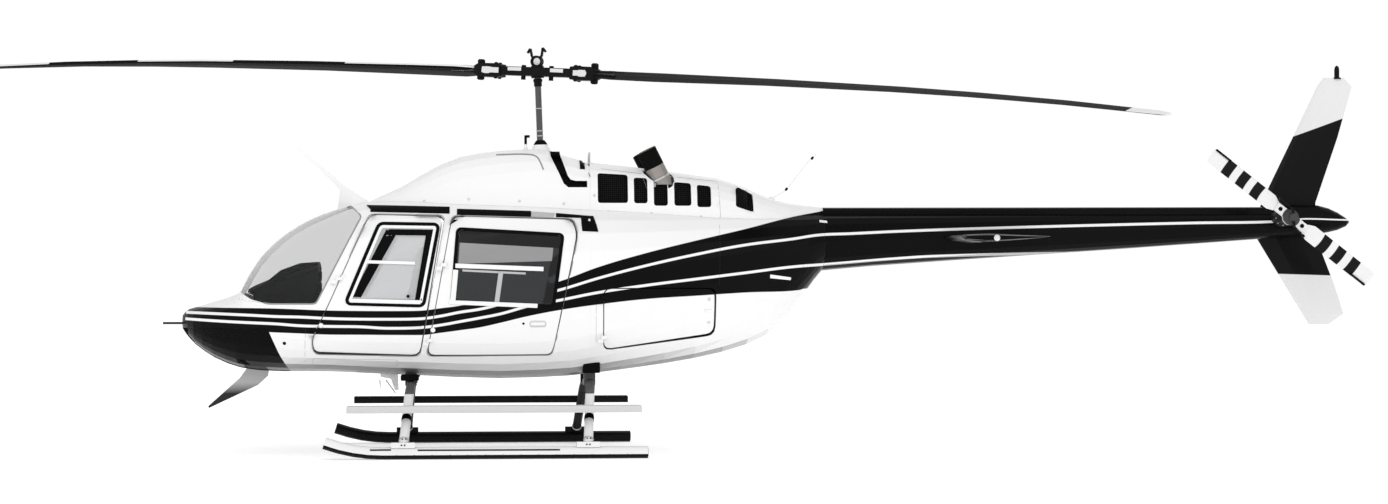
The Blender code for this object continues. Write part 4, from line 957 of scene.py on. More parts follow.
class HELICOPTER_OT_glazing(bpy.types.Operator):
    """Adds seals, frames and slide rails to the door windows and windshields"""
    bl_idname = "helicopter.glazing"
    bl_label = "Window frames"

    def execute(self, context):
        for label, side in SIDES:
            body = f"door_front_{label}"
            skin = Skin(f"front_door_{label}", f"front_door_window_{label}")
            rim = rounded_path(FRONT_PANE, 0.028)
            face, inner = on_side(skin, side, 0.0015), on_side(skin, side, 0.001)

            def ring(name, path, width, shift, look, slot, surface, thick=0.004):
                piece = strip(f"{name}_{label}", surface, path, width, thick, closed=True,
                    shift=shift)
                return fit(piece, look, slot, body)

            ring("front_window_seal", rim, 0.027, -0.014, "rubber", "black_plastic", face)
            ring("front_window_frame", rim, 0.022, 0.010, "plain_white", "white_paint", face,
                0.006)
            # dark inner frame: heavy on the front and top, lighter at the back
            for name, corners, along, across in (("front", ((-2.452, 1.232), (-2.383, 1.228),
                    (-2.118, 1.708), (-2.190, 1.756)), 3, 10), ("top",
                    ((-2.185, 1.712), (-1.838, 1.708), (-1.822, 1.752), (-2.172, 1.757)), 8, 2),
                    ("back", ((-1.968, 1.200), (-1.916, 1.197), (-1.828, 1.712), (-1.884, 1.712)),
                    2, 10)):
                piece = area(f"front_window_{name}_liner_{label}", inner, corners, along, across,
                    0.003)
                fit(piece, "rubber", body=body)
            rail = strip(f"front_window_slide_{label}", on_side(skin, side, 0.006),
                ((-2.335, 1.502), (-1.965, 1.491)), 0.024, 0.010)
            fit(soften(rail, 0.002), "plain_white", body=body)
            sill = strip(f"front_window_sill_{label}", on_side(skin, side, 0.005),
                ((-2.468, 1.203), (-1.925, 1.189)), 0.030, 0.009)
            fit(soften(sill, 0.002), "plain_white", body=body)
            knob = turned(f"front_window_knob_{label}", ((0.008, 0), (0.008, 0.008),
                (0.013, 0.010), (0.013, 0.018), (0.009, 0.021)), skin.side(-2.02, 1.235, side,
                0.002), (0, side, 0), 16)
            fit(knob, "black_plastic", body=body)

            body = f"door_rear_{label}"
            skin = Skin(f"rear_door_{label}", f"rear_door_window_{label}")
            rim = rounded_path(REAR_PANE, 0.03)
            face, inner = on_side(skin, side, 0.0015), on_side(skin, side, 0.001)
            ring("rear_window_seal", rim, 0.026, -0.002, "rubber", "black_plastic", face)
            for name, corners, look in (("head", ((-1.628, 1.654), (-0.835, 1.612),
                    (-0.830, 1.700), (-1.620, 1.742)), "dark_tint"),
                    ("upper_pane", ((-1.633, 1.487), (-0.905, 1.510), (-0.893, 1.612),
                    (-1.620, 1.652)), "grey_pane"), ("back", ((-0.975, 1.180), (-0.905, 1.180),
                    (-0.832, 1.690), (-0.893, 1.612)), "dark_tint")):
                piece = area(f"rear_window_{name}_{label}", inner, corners, 10, 4, 0.002)
                fit(piece, look, "tinted_glass", body)
            for name, path, width, thick in (("slide", ((-1.655, 1.472), (-0.971, 1.446)), 0.034,
                    0.012), ("post", ((-1.652, 1.440), (-1.674, 1.200)), 0.040, 0.008),
                    ("sill", ((-1.704, 1.189), (-1.018, 1.160)), 0.032, 0.010)):
                piece = strip(f"rear_window_{name}_{label}", on_side(skin, side, 0.006), path,
                    width, thick)
                fit(soften(piece, 0.002), "plain_white", body=body)
            for name, path, width, look in (("mullion", ((-1.301, 1.428), (-1.334, 1.188)), 0.036,
                    "grey_paint"), ("rail", ((-1.600, 1.436), (-1.110, 1.412)), 0.016,
                    "grey_paint")):
                piece = strip(f"rear_window_{name}_{label}", on_side(skin, side, 0.002), path,
                    width, 0.003)
                fit(piece, look, "black_plastic", body)

            # windshield bead
            skin = Skin(f"windshield_{label}", "cabin_frame")
            bead = strip(f"windshield_bead_{label}", on_side(skin, side, 0.0015),
                rounded_path(WINDSHIELD_EDGE, 0.03, 3)[8:], 0.010, 0.004, smooth=0)
            fit(bead, "grey_seal")
        # the two windshields meet at a centre strip
        skin = Skin("cabin_frame", "windshield_left", "windshield_right")
        rows = []
        for step in range(14):
            place, _ = skin.seen((-3.9, 0.0, 1.24 + 0.05 * step), (1, 0, 0))
            rows.append(place)

        def centre(u, w):
            place = rows[round(u * 13)]
            return Vector((place.x - 0.002, (w - 0.5) * 0.044, place.z))

        fit(patch("windshield_centre_strip", centre, 13, 2, 0.004), "plain_white")
        return {"FINISHED"}


class HELICOPTER_OT_doors(bpy.types.Operator):
    """Adds seals, hinge covers, handles and locks to the doors"""
    bl_idname = "helicopter.doors"
    bl_label = "Door fittings"

    def execute(self, context):
        for label, side in SIDES:
            for door, corners in (("front", FRONT_DOOR_EDGE), ("rear", REAR_DOOR_EDGE)):
                skin = Skin(f"{door}_door_{label}")
                middle = sum((Vector(c) for c in corners), Vector((0, 0))) / len(corners)

                def in_gap(x, z, skin=skin, middle=middle):
                    pull = (middle - Vector((x, z))).normalized() * 0.014
                    depth = skin.side(x + pull.x, z + pull.y, side, -0.011)
                    return Vector((x, depth.y, z))

                seal = strip(f"{door}_door_seal_{label}", in_gap, rounded_path(corners, 0.05, 3),
                    0.0045, 0.006, closed=True, shift=0.0)
                fit(seal, "grey_seal")
            fittings = (("front", ((-2.690, 1.010), (-2.52, 1.385)), (-1.965, 1.020)),
                ("rear", ((-1.828, 0.974), (-1.722, 1.466)), (-1.015, 1.020)))
            for door, hinges, handle in fittings:
                body = f"door_{door}_{label}"
                skin = Skin(f"{door}_door_{label}")
                covers = []
                for x, z in hinges:
                    covers.append(turned("cover", ((0.019, 0.0), (0.019, 0.004), (0.015, 0.009),
                        (0.007, 0.011)), skin.side(x, z, side, -0.001), (0, side, 0), 16))
                fit(joined(f"{door}_door_hinge_caps_{label}", covers), "plain_white", body=body)
                x, z = handle
                rim_look = "white_paint" if door == "front" else "grey_paint"
                rim = rounded_path(((x - 0.062, z - 0.022), (x + 0.062, z - 0.022),
                    (x + 0.062, z + 0.022), (x - 0.062, z + 0.022)), 0.018, 3)
                frame_ring = strip(f"{door}_door_handle_rim_{label}", on_side(skin, side, 0.001),
                    rim, 0.005, 0.0024, closed=True, step=0.02)
                fit(frame_ring, rim_look, "white_paint", body)
                grip = strip(f"{door}_door_handle_{label}", on_side(skin, side, 0.009),
                    ((x - 0.052, z), (x + 0.050, z)), 0.020, 0.006, step=0.02)
                posts = [rod("post", skin.side(x + dx, z, side, -0.002),
                    skin.side(x + dx, z, side, 0.008), 0.0055, 12) for dx in (-0.040, 0.040)]
                grip = joined(f"{door}_door_handle_{label}", [soften(grip, 0.002)] + posts)
                fit(grip, "white_paint", body=body)
                key = turned(f"{door}_door_lock_{label}", ((0.009, 0.0), (0.009, 0.003),
                    (0.007, 0.0045), (0.003, 0.005)), skin.side(x - 0.112, z + 0.003, side),
                    (0, side, 0), 16)
                fit(key, "black_plastic", body=body)
        # the baggage door is on the left side only
        skin = Skin("baggage_door")
        latches = [turned("latch", ((0.014, 0.0), (0.014, 0.003), (0.011, 0.0045), (0.004, 0.005)),
            skin.side(x, z, -1), (0, -1, 0), 16) for x, z in ((0.335, 1.21), (0.335, 1.03))]
        fit(joined("baggage_door_latches", latches), "light_metal", body="door_baggage")
        grip = strip("baggage_door_pull", on_side(skin, -1, 0.006), ((0.30, 1.12), (0.36, 1.12)),
            0.018, 0.008, step=0.02)
        fit(soften(grip, 0.002), "plain_white", body="door_baggage")
        return {"FINISHED"}


class HELICOPTER_OT_gutters(bpy.types.Operator):
    """Adds the rain gutters and trim above the doors"""
    bl_idname = "helicopter.gutters"
    bl_label = "Gutters"

    def execute(self, context):
        skin = Skin("cabin_frame", "cabin_roof", "aft_fuselage", "pylon_cowl")
        for label, side in SIDES:
            face = on_side(skin, side, 0.003)
            runs = (("front_gutter", ((-2.318, 1.921), (-1.700, 1.907)), 0.052),
                ("rear_gutter", ((-1.643, 1.892), (-1.062, 1.876)), 0.050))
            for name, path, width in runs:
                piece = strip(f"{name}_{label}", face, path, width, 0.010)
                fit(soften(piece, 0.003), "rubber")
            tip = area(f"front_gutter_tip_{label}", face, ((-2.300, 1.898), (-2.270, 1.898),
                (-2.270, 1.944), (-2.350, 1.947)), 2, 2, 0.009)
            fit(tip, "rubber")
            for name, corners in (("gutter_end", ((-0.868, 1.855), (-0.660, 1.849),
                    (-0.660, 1.868), (-0.865, 1.885))), ("gutter_bend",
                    ((-0.668, 1.800), (-0.552, 1.797), (-0.572, 1.862), (-0.672, 1.868))),
                    ("gutter_drop", ((-0.664, 1.745), (-0.538, 1.739), (-0.552, 1.800),
                    (-0.670, 1.812)))):
                piece = area(f"{name}_{label}", face, corners, 8, 3, 0.008)
                fit(soften(piece, 0.002), "rubber")
            notch = area(f"gutter_joint_{label}", on_side(skin, side, 0.002),
                ((-1.060, 1.856), (-0.889, 1.848), (-0.874, 1.886), (-1.060, 1.897)), 4, 2, 0.006)
            fit(notch, "grey_paint")
        return {"FINISHED"}


class HELICOPTER_OT_cowl(bpy.types.Operator):
    """Adds grilles, seams, vents, fence, exhaust sleeves and the mast's boot to the cowls"""
    bl_idname = "helicopter.cowl"
    bl_label = "Cowl fittings"

    def execute(self, context):
        skin = Skin("engine_cowl", "aft_fairing", "pylon_cowl", "inlet_fairing")
        for label, side in SIDES:

            def past_foot(x, z, side=side):
                """The cowl's face, taken straight across the foot of the exhaust."""
                fore, aft = EXHAUST_FOOT
                if not fore < x < aft:
                    return skin.side(x, z, side)
                share = (x - fore) / (aft - fore)
                return skin.side(fore, z, side).lerp(skin.side(aft, z, side), share)

            meshes, backs, rims = [], [], []
            for corners in GRILLES:
                a, b, c, d = (Vector(p) for p in corners)

                def deep(x, z, depth, corners=corners):
                    spot = past_foot(x, corners[2][1] + 0.02)
                    low = skin.side(x, corners[0][1] - 0.02, side)
                    share = (z - low.z) / max(0.01, spot.z - low.z)
                    return Vector((x, low.y + (spot.y - low.y) * share - side * depth, z))

                def inside(u, w, depth=0.014):
                    place = a.lerp(b, u).lerp(d.lerp(c, u), w)
                    return deep(place.x, place.y, depth)

                columns = max(4, round((b - a).length / 0.016))
                rows = max(6, round((d - a).length / 0.016))
                rest()
                bpy.ops.mesh.primitive_grid_add(x_subdivisions=columns, y_subdivisions=rows,
                    size=1)
                wire = added("mesh")
                for vert in wire.data.vertices:
                    vert.co = inside(vert.co.x + 0.5, vert.co.y + 0.5)
                meshes.append(apply(wire, "WIREFRAME", thickness=0.0022, use_replace=True))
                backs.append(patch("back", lambda u, w: inside(u, w, 0.026), 2, 3, 0.002))
                rims.append(strip("rim", lambda x, z: deep(x, z, -0.0008),
                    rounded_path(corners, 0.022, 3), 0.006, 0.0022, closed=True, shift=-0.004))
            fit(joined(f"grille_mesh_{label}", meshes), "dark_metal")
            # near-black backs behind the grille mesh: painted shade in the recess
            fit(joined(f"grille_backs_{label}", backs), "soot_and_shade_black")
            fit(joined(f"grille_rims_{label}", rims), "plain_white")

            seams = [strip("seam", past_foot, ((-0.500, 2.245), (-0.181, 2.207), (0.423, 2.150)),
                0.003, 0.0016, smooth=0)]
            for path in (((-0.595, 1.878), (-0.357, 1.873), (0.437, 1.832), (0.792, 1.819),
                    (1.050, 1.800)), ((0.430, 2.150), (0.447, 1.835)),
                    ((-2.290, 1.945), (-1.500, 1.935), (-0.620, 1.905))):
                seams.append(strip("seam", on_side(skin, side, 0.0), path, 0.003, 0.0016,
                    smooth=0))
            fit(joined(f"cowl_seams_{label}", seams), "seam_paint")

            edge = strip(f"pylon_edge_{label}", on_side(skin, side, 0.0008),
                ((-1.331, 2.358), (-1.128, 2.362), (-1.025, 2.350), (-0.985, 2.300),
                (-0.960, 2.235)), 0.012, 0.0016, smooth=4)
            fit(edge, "grey_seal", "white_paint")

            latches = []
            for x, z in ((-0.45, 1.895), (-0.10, 1.880), (0.30, 1.860), (-0.56, 2.03),
                    (-1.55, 2.0), (-1.90, 1.985), (-1.15, 1.985), (-0.80, 1.965)):
                latches.append(turned("latch", ((0.012, -0.001), (0.012, 0.0016), (0.009, 0.003),
                    (0.004, 0.0032)), *skin.seen((x, side * 3, z), (0, -side, 0)), 14))
            fit(joined(f"cowl_latches_{label}", latches), "light_metal")
            vent = area(f"cowl_vent_{label}", on_side(skin, side, 0.003),
                ((-0.669, 2.241), (-0.630, 2.241), (-0.630, 2.312), (-0.669, 2.312)), 5, 3, 0.005)
            fit(soften(vent, 0.001), "rubber")

            # painted shade: near-black screens that close the intake slot behind the pylon, for
            # the shade inside it
            screens = []
            for corners, shift in ((((-0.908, 2.378), (-0.832, 2.378), (-0.770, 2.195),
                    (-0.842, 2.200)), (0.09, 0.0)), (((-0.842, 2.200), (-0.770, 2.195),
                    (-0.720, 2.148), (-0.775, 2.098)), (0.09, 0.04)),
                    (((-0.775, 2.098), (-0.616, 2.098), (-0.616, 2.146), (-0.720, 2.148)),
                    (0.0, 0.06))):

                def screen(x, z, shift=shift):
                    edge = skin.side(x + shift[0], z + shift[1], side)
                    return Vector((x, edge.y - side * 0.014, z))

                screens.append(area("screen", screen, corners, 6, 4, 0.004))
            fit(joined(f"intake_screens_{label}", screens), "soot_and_shade_black", "black_plastic")

            # dark sleeve over the mouth of the exhaust
            foot, tip = Vector((0.007, side * 0.222, 2.10)), Vector((-0.143, side * 0.250, 2.392))
            reach = (tip - foot).length
            sleeve = turned(f"exhaust_sleeve_{label}", ((0.0803, reach - 0.145),
                (0.0812, reach - 0.143), (0.0812, reach - 0.002), (0.0800, reach + 0.001),
                (0.0735, reach), (0.0715, reach - 0.010), (0.0705, reach - 0.20)), foot,
                tip - foot, 36)
            fit(sleeve, "soot_and_shade_black", "bare_steel")
            collar = turned(f"exhaust_clamp_{label}", ((0.0810, 0.075), (0.0850, 0.078),
                (0.0850, 0.092), (0.0810, 0.095)), foot, tip - foot, 36)
            fit(collar, "bare_steel")

        # upright fence between the inlet and the engine cowl
        fence = sheet_plate("inlet_fence", ((-0.20, 2.236), (0.20, 2.236), (0.17, 2.360),
            (0.0, 2.390), (-0.17, 2.360)), lambda y, z: Vector((-0.583, y, z)), 0.004)
        fit(fence, "grey_paint")
        lip = pipe("inlet_fence_bead", ((-0.583, -0.20, 2.236), (-0.583, -0.17, 2.360),
            (-0.583, 0.0, 2.388), (-0.583, 0.17, 2.360), (-0.583, 0.20, 2.236)), 0.004)
        fit(lip, "plain_white")
        # white cuff and dark boot round the mast on the pylon's top
        cuff = turned("mast_cuff", ((0.088, -0.02), (0.088, 0.0), (0.072, 0.020), (0.058, 0.052),
            (0.050, 0.056)), (-0.972, 0.0, 2.392), (-0.038, 0, 1), 36)
        fit(cuff, "plain_white")
        boot = turned("mast_boot", ((0.056, 0.0), (0.054, 0.006), (0.044, 0.022), (0.034, 0.034),
            (0.031, 0.036)), (-0.974, 0.0, 2.446), (-0.038, 0, 1), 36)
        fit(boot, "rubber")
        return {"FINISHED"}


def on_head(piece):
    """Carries a piece made round the hub's own axes to its place on the mast."""
    return moved(piece, HEAD_TURN)


class HELICOPTER_OT_rotor_head(bpy.types.Operator):
    """Adds nuts, plates, drag braces and collars to the main rotor head"""
    bl_idname = "helicopter.rotor_head"
    bl_label = "Rotor head"

    def execute(self, context):
        bolt = context.scene.helicopter_rotor.bolt
        nuts, caps, plates, braces = [], [], [], []
        for end in (-1, 1):
            x = end * 0.492
            for foot, up in ((0.076, 1), (-0.070, -1)):
                nuts.append(turned("nut", ((bolt * 1.5, 0.0), (bolt * 1.5, 0.004),
                    (bolt * 1.35, 0.005)), (x, 0, foot), (0, 0, up), 20))
                nuts.append(turned("nut", ((bolt * 1.15, 0.004), (bolt * 1.15, 0.009),
                    (bolt * 1.0, 0.011)), (x, 0, foot), (0, 0, up), 6))
            for side in (-1, 1):
                for up in (1, -1):
                    caps.append(turned("cap", ((0.017, 0.0), (0.017, 0.006), (0.013, 0.011),
                        (0.006, 0.014)), (end * 0.345, side * 0.040, up * 0.053), (0, 0, up), 16))
            near = Vector((end * 0.500, -end * 0.055, 0.0))
            far = Vector((end * 0.700, -end * 0.120, -0.012))
            braces.append(rod("brace", near, far, 0.0085, 14))
            line = Vector((end * 0.200, -end * 0.065, -0.012)).normalized() * 0.012
            for share, radius in ((0.0, 0.013), (0.42, 0.0115), (0.62, 0.0115), (1.0, 0.013)):
                spot = near.lerp(far, share)
                braces.append(rod("boss", spot - line, spot + line, radius, 6, 0.001))
        fit(on_head(joined("grip_nuts", nuts)), "head_metal", body="main_rotor")
        fit(on_head(joined("grip_caps", caps)), "head_metal", body="main_rotor")
        turn = HEAD_TURN.inverted()
        tree = tree_of(*map(solid, ("rotor_yoke", "blade_grip_a", "blade_grip_b")), turn=turn)
        for side in (-1, 1):

            def on_face(x, z, side=side):
                place = tree.ray_cast(Vector((x, side, z)), Vector((0, -side, 0)))[0]
                place = place or tree.find_nearest(Vector((x, side * 0.08, z)))[0]
                return place + Vector((0, side * 0.0012, 0))

            for low, high in (((-0.448, -0.020), (-0.312, 0.022)),
                    ((-0.232, 0.002), (-0.110, 0.030)), ((0.140, 0.000), (0.245, 0.029)),
                    ((0.335, -0.020), (0.440, 0.022))):
                plates.append(area("plate", on_face, (low, (high[0], low[1]), high,
                    (low[0], high[1])), 8, 3, 0.003))
            plates.append(turned("disc", ((0.0285, -0.001), (0.0285, 0.0015), (0.024, 0.003)),
                (0, side * 0.0242, 0.083), (0, side, 0), 24))
        fit(on_head(joined("head_plates", plates)), "light_plate", body="main_rotor")
        fit(on_head(joined("drag_braces", braces)), "dark_metal", body="main_rotor")
        collar = turned("mast_collar", ((0.0258, -0.118), (0.032, -0.114), (0.032, -0.082),
            (0.037, -0.078), (0.037, -0.060), (0.032, -0.056), (0.0258, -0.053)), sides=32)
        fit(moved(collar, MAST_TURN), "head_metal", body="main_rotor")
        splines = [turned("spline", ((0.0255, h), (0.0285, h + 0.002), (0.0285, h + 0.010),
            (0.0255, h + 0.012)), sides=28) for h in (-0.520, -0.480, -0.300)]
        fit(moved(joined("mast_rings", splines), MAST_TURN), "bare_steel", body="main_rotor")
        # root plates on the blades
        for blade, end, look in (("a", -1, "forward_blade"), ("b", 1, "aft_blade")):
            tree = tree_of(solid(f"main_blade_{blade}"), turn=turn)
            doublers = []
            for up in (-1, 1):
                for reach, half, lift in ((0.74, 0.040, 0.0015), (0.66, 0.050, 0.0027)):

                    def spot(u, w):
                        x = end * (0.535 + (reach - 0.535) * u)
                        y = end * 0.010 + half * (1 - 0.45 * u) * (2 * w - 1)
                        place = tree.ray_cast(Vector((x, y, up * 0.5)), Vector((0, 0, -up)))[0]
                        place = place or tree.find_nearest(Vector((x, y, 0)))[0]
                        return place + Vector((0, 0, up * lift))

                    doublers.append(patch("doubler", spot, 8, 4, 0.0012))
            piece = on_head(joined(f"blade_root_plates_{blade}", doublers))
            fit(piece, look, "blade_black", "main_rotor")
        return {"FINISHED"}


class HELICOPTER_OT_tail(bpy.types.Operator):
    """Adds the tail rotor's fittings, the navigation lamps and the beacon's base"""
    bl_idname = "helicopter.tail"
    bl_label = "Tail fittings"

    def execute(self, context):
        strips, dots, links = [], [], []
        hub_tree = tree_of(solid("tail_rotor_hub"), turn=TAIL_TURN.inverted())
        for end in (-1, 1):
            left, right = sorted((end * 0.664, end * 0.815))
            low, high = sorted((-end * 0.050, -end * 0.0655))
            strips.append(block("strip", (left, -0.0125, low), (right, 0.0160, high), 0.002))
            face = hub_tree.ray_cast(Vector((end * 0.112, -0.5, 0)), Vector((0, 1, 0)))[0]
            dots.append(turned("dot", ((0.017, -0.004), (0.017, 0.003), (0.012, 0.006)), face,
                (0, -1, 0), 18))
            horn = Vector((end * 0.165, -0.040, -end * 0.062))
            links.append(rod("link", (end * 0.045, -0.078, -end * 0.050), horn, 0.0055, 12))
            links.append(rod("horn", horn, (end * 0.165, -0.004, -end * 0.050), 0.0075, 12))
            for spot in (horn, Vector((end * 0.045, -0.078, -end * 0.050))):
                links.append(turned("ball", ((0.006, -0.010), (0.0115, -0.006), (0.0115, 0.006),
                    (0.006, 0.010)), spot, (0, 1, 0), 14))
        links.append(block("crosshead", (-0.060, -0.084, -0.012), (0.060, -0.070, 0.012), 0.003,
            (0, math.radians(48), 0)))
        for name, pieces, look, slot in (("tail_blade_strips", strips, "rubber", "blade_black"),
                ("tail_blade_bolts", dots, "rubber", "dark_metal"),
                ("tail_pitch_links", links, "head_metal", "dark_metal")):
            fit(moved(joined(name, pieces), TAIL_TURN), look, slot, "tail_rotor")

        # gearbox cap and its nuts
        cap = turned("tail_gearbox_cap", ((0.064, 0.0), (0.070, 0.004), (0.070, 0.014),
            (0.064, 0.018)), (5.053, -0.200, 1.865), (0, -1, 0), 36)
        fit(cap, "dark_metal")
        studs_round = [((5.053 + 0.058 * math.cos(a), -0.219, 1.865 + 0.058 * math.sin(a)),
            (0, -1, 0)) for a in (math.tau * k / 8 for k in range(8))]
        fit(studs("tail_gearbox_nuts", studs_round, 0.006, 0.005, 6), "bare_steel")

        for label, side in SIDES:
            skin = Skin(f"stabiliser_{label}")
            base = turned(f"nav_lamp_base_{label}", ((0.024, 0.0), (0.024, 0.006), (0.020, 0.010)),
                (2.541, side * 0.983, 1.690), (0, side, 0), 20)
            fit(base, "plain_white")
            lens = turned(f"nav_lamp_{label}", ((0.019, 0.008), (0.019, 0.016), (0.015, 0.026),
                (0.007, 0.031)), (2.541, side * 0.983, 1.690), (0, side, 0), 20)
            fit(lens, "lens_clear")
            rows = []
            for x in (2.33, 2.47, 2.80):
                rows += [skin.seen((x, side * (0.19 + 0.035 * k), 2.6),
                    (0, 0, -1)) for k in range(22)]
            fit(studs(f"stabiliser_rivets_{label}", rows, 0.0032, 0.0010, 6), "black_paint")
        base = turned("beacon_base", ((0.034, -0.012), (0.034, -0.004), (0.026, 0.002)),
            (5.619, 0.130, 3.036), (0, 0, 1), 24)
        fit(base, "black_plastic")
        return {"FINISHED"}


def section_middle(name, z, side):
    """The middle of a leg at one height, from the solid's edges that cross it."""
    mesh = solid(name)
    found = []
    for edge in mesh.edges:
        a, b = (mesh.vertices[i].co for i in edge.vertices)
        if a.y * side > 0.15 and (a.z - z) * (b.z - z) < 0:
            found.append(a.lerp(b, (z - a.z) / (b.z - a.z)))
    low = Vector([min(p[k] for p in found) for k in range(3)])
    high = Vector([max(p[k] for p in found) for k in range(3)])
    return (low + high) / 2


class HELICOPTER_OT_gear(bpy.types.Operator):
    """Adds sleeves, collars, boots, grip strips and seams to the skid gear; the skid seams are
    black to stand in for a dark reflection along the tube.
    """
    bl_idname = "helicopter.gear"
    bl_label = "Skid gear fittings"

    def execute(self, context):
        for label, side in SIDES:
            sleeves, steel, bolts = [], [], []
            for tube in ("front_cross_tube", "rear_cross_tube"):
                low, high = (section_middle(tube, z, side) for z in (0.275, 0.325))
                sleeves.append(turned("sleeve", ((0.0355, -0.006), (0.0385, 0.0), (0.0385, 0.046),
                    (0.0355, 0.052)), low, high - low, 32))
                foot = section_middle(tube, 0.135, side)
                for z in (0.108, 0.150):
                    x = section_middle(tube, z, side).x
                    for dx in (-0.012, 0.012):
                        spot = Vector((x + dx, side * 0.9, z))
                        bolts.append(Skin(tube).seen(spot + Vector((0, side * 1.2, 0)),
                            (0, -side, 0)))
                ring = turned("ring", ((0.0355, -0.008), (0.0400, -0.006), (0.0400, 0.006),
                    (0.0355, 0.008)), foot, section_middle(tube, 0.165, side) - foot, 32)
                steel.append(ring)
            fit(joined(f"leg_sleeves_{label}", sleeves), "rubber")
            fit(joined(f"leg_collars_{label}", steel), "light_metal")
            fit(studs(f"leg_bolts_{label}", bolts, 0.007, 0.006, 6), "dark_metal")

            # boots where the legs pass the belly
            boots = []
            for tube, low, high in (("front_cross_tube", (-2.080, 0.573), (-1.938, 0.620)),
                    ("rear_cross_tube", (-0.655, 0.630), (-0.520, 0.716))):
                boots.append(side_block("boot", side, (low[0], 0.335, low[1]),
                    (high[0], 0.470, high[1]), 0.010))
            fit(joined(f"leg_boots_{label}", boots), "rubber")

            # side flanges and grip strips on the steps
            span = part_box(f"step_{label}")
            flanges = []
            for y in (0.787, 0.913):
                flanges.append(side_block("flange", side, (span[0].x, y - 0.0035, 0.342),
                    (span[1].x, y + 0.0035, 0.396), 0.002))
            fit(joined(f"step_flanges_{label}", flanges), "step_paint")
            count = context.scene.helicopter_gear.tread
            ribs = []
            for k in range(count):
                x = span[0].x + 0.06 + (span[1].x - span[0].x - 0.12) * k / (count - 1)
                ribs.append(side_block("rib", side, (x - 0.022, 0.798, 0.3795),
                    (x + 0.022, 0.902, 0.3822), 0.0008))
            fit(joined(f"step_grips_{label}", ribs), "rubber")

            # seam line, black to stand in for the dark reflection along the tube, plug and shoe
            # screws along the skid tube
            skin = Skin(f"skid_{label}")
            seams = [strip("seam", on_side(skin, side, 0.0005), path, 0.011,
                0.0015) for path in (((-2.30, 0.073), (-2.14, 0.073)),
                ((-1.94, 0.070), (-0.86, 0.068)))]
            fit(joined(f"skid_seam_and_reflection_{label}", seams), "rubber")
            screws = [skin.seen((-2.1 + 0.135 * k, side * 3, 0.030),
                (0, -side, 0)) for k in range(14)]
            fit(studs(f"skid_screws_{label}", screws, 0.006, 0.0025, 8), "dark_metal")
            plug = turned(f"skid_plug_{label}", ((0.041, -0.004), (0.041, 0.002), (0.034, 0.005)),
                (-0.187, side * SKID_Y, 0.045), (1, 0, 0), 28)
            fit(plug, "rubber")
        # belly lamp lens and its stay
        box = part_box("belly_lamp")
        lens = turned("belly_lamp_lens", ((0.036, 0.0), (0.036, 0.004), (0.030, 0.009),
            (0.012, 0.012)), (box[0].x + 0.002, 0.0, 0.535), (-1, 0, -0.15), 28)
        fit(lens, "lens_clear")
        stay = rod("belly_lamp_stay", (-2.205, -0.030, 0.566), (-2.130, -0.030, 0.462), 0.005, 14)
        fit(stay, "grey_paint", "black_plastic")
        return {"FINISHED"}


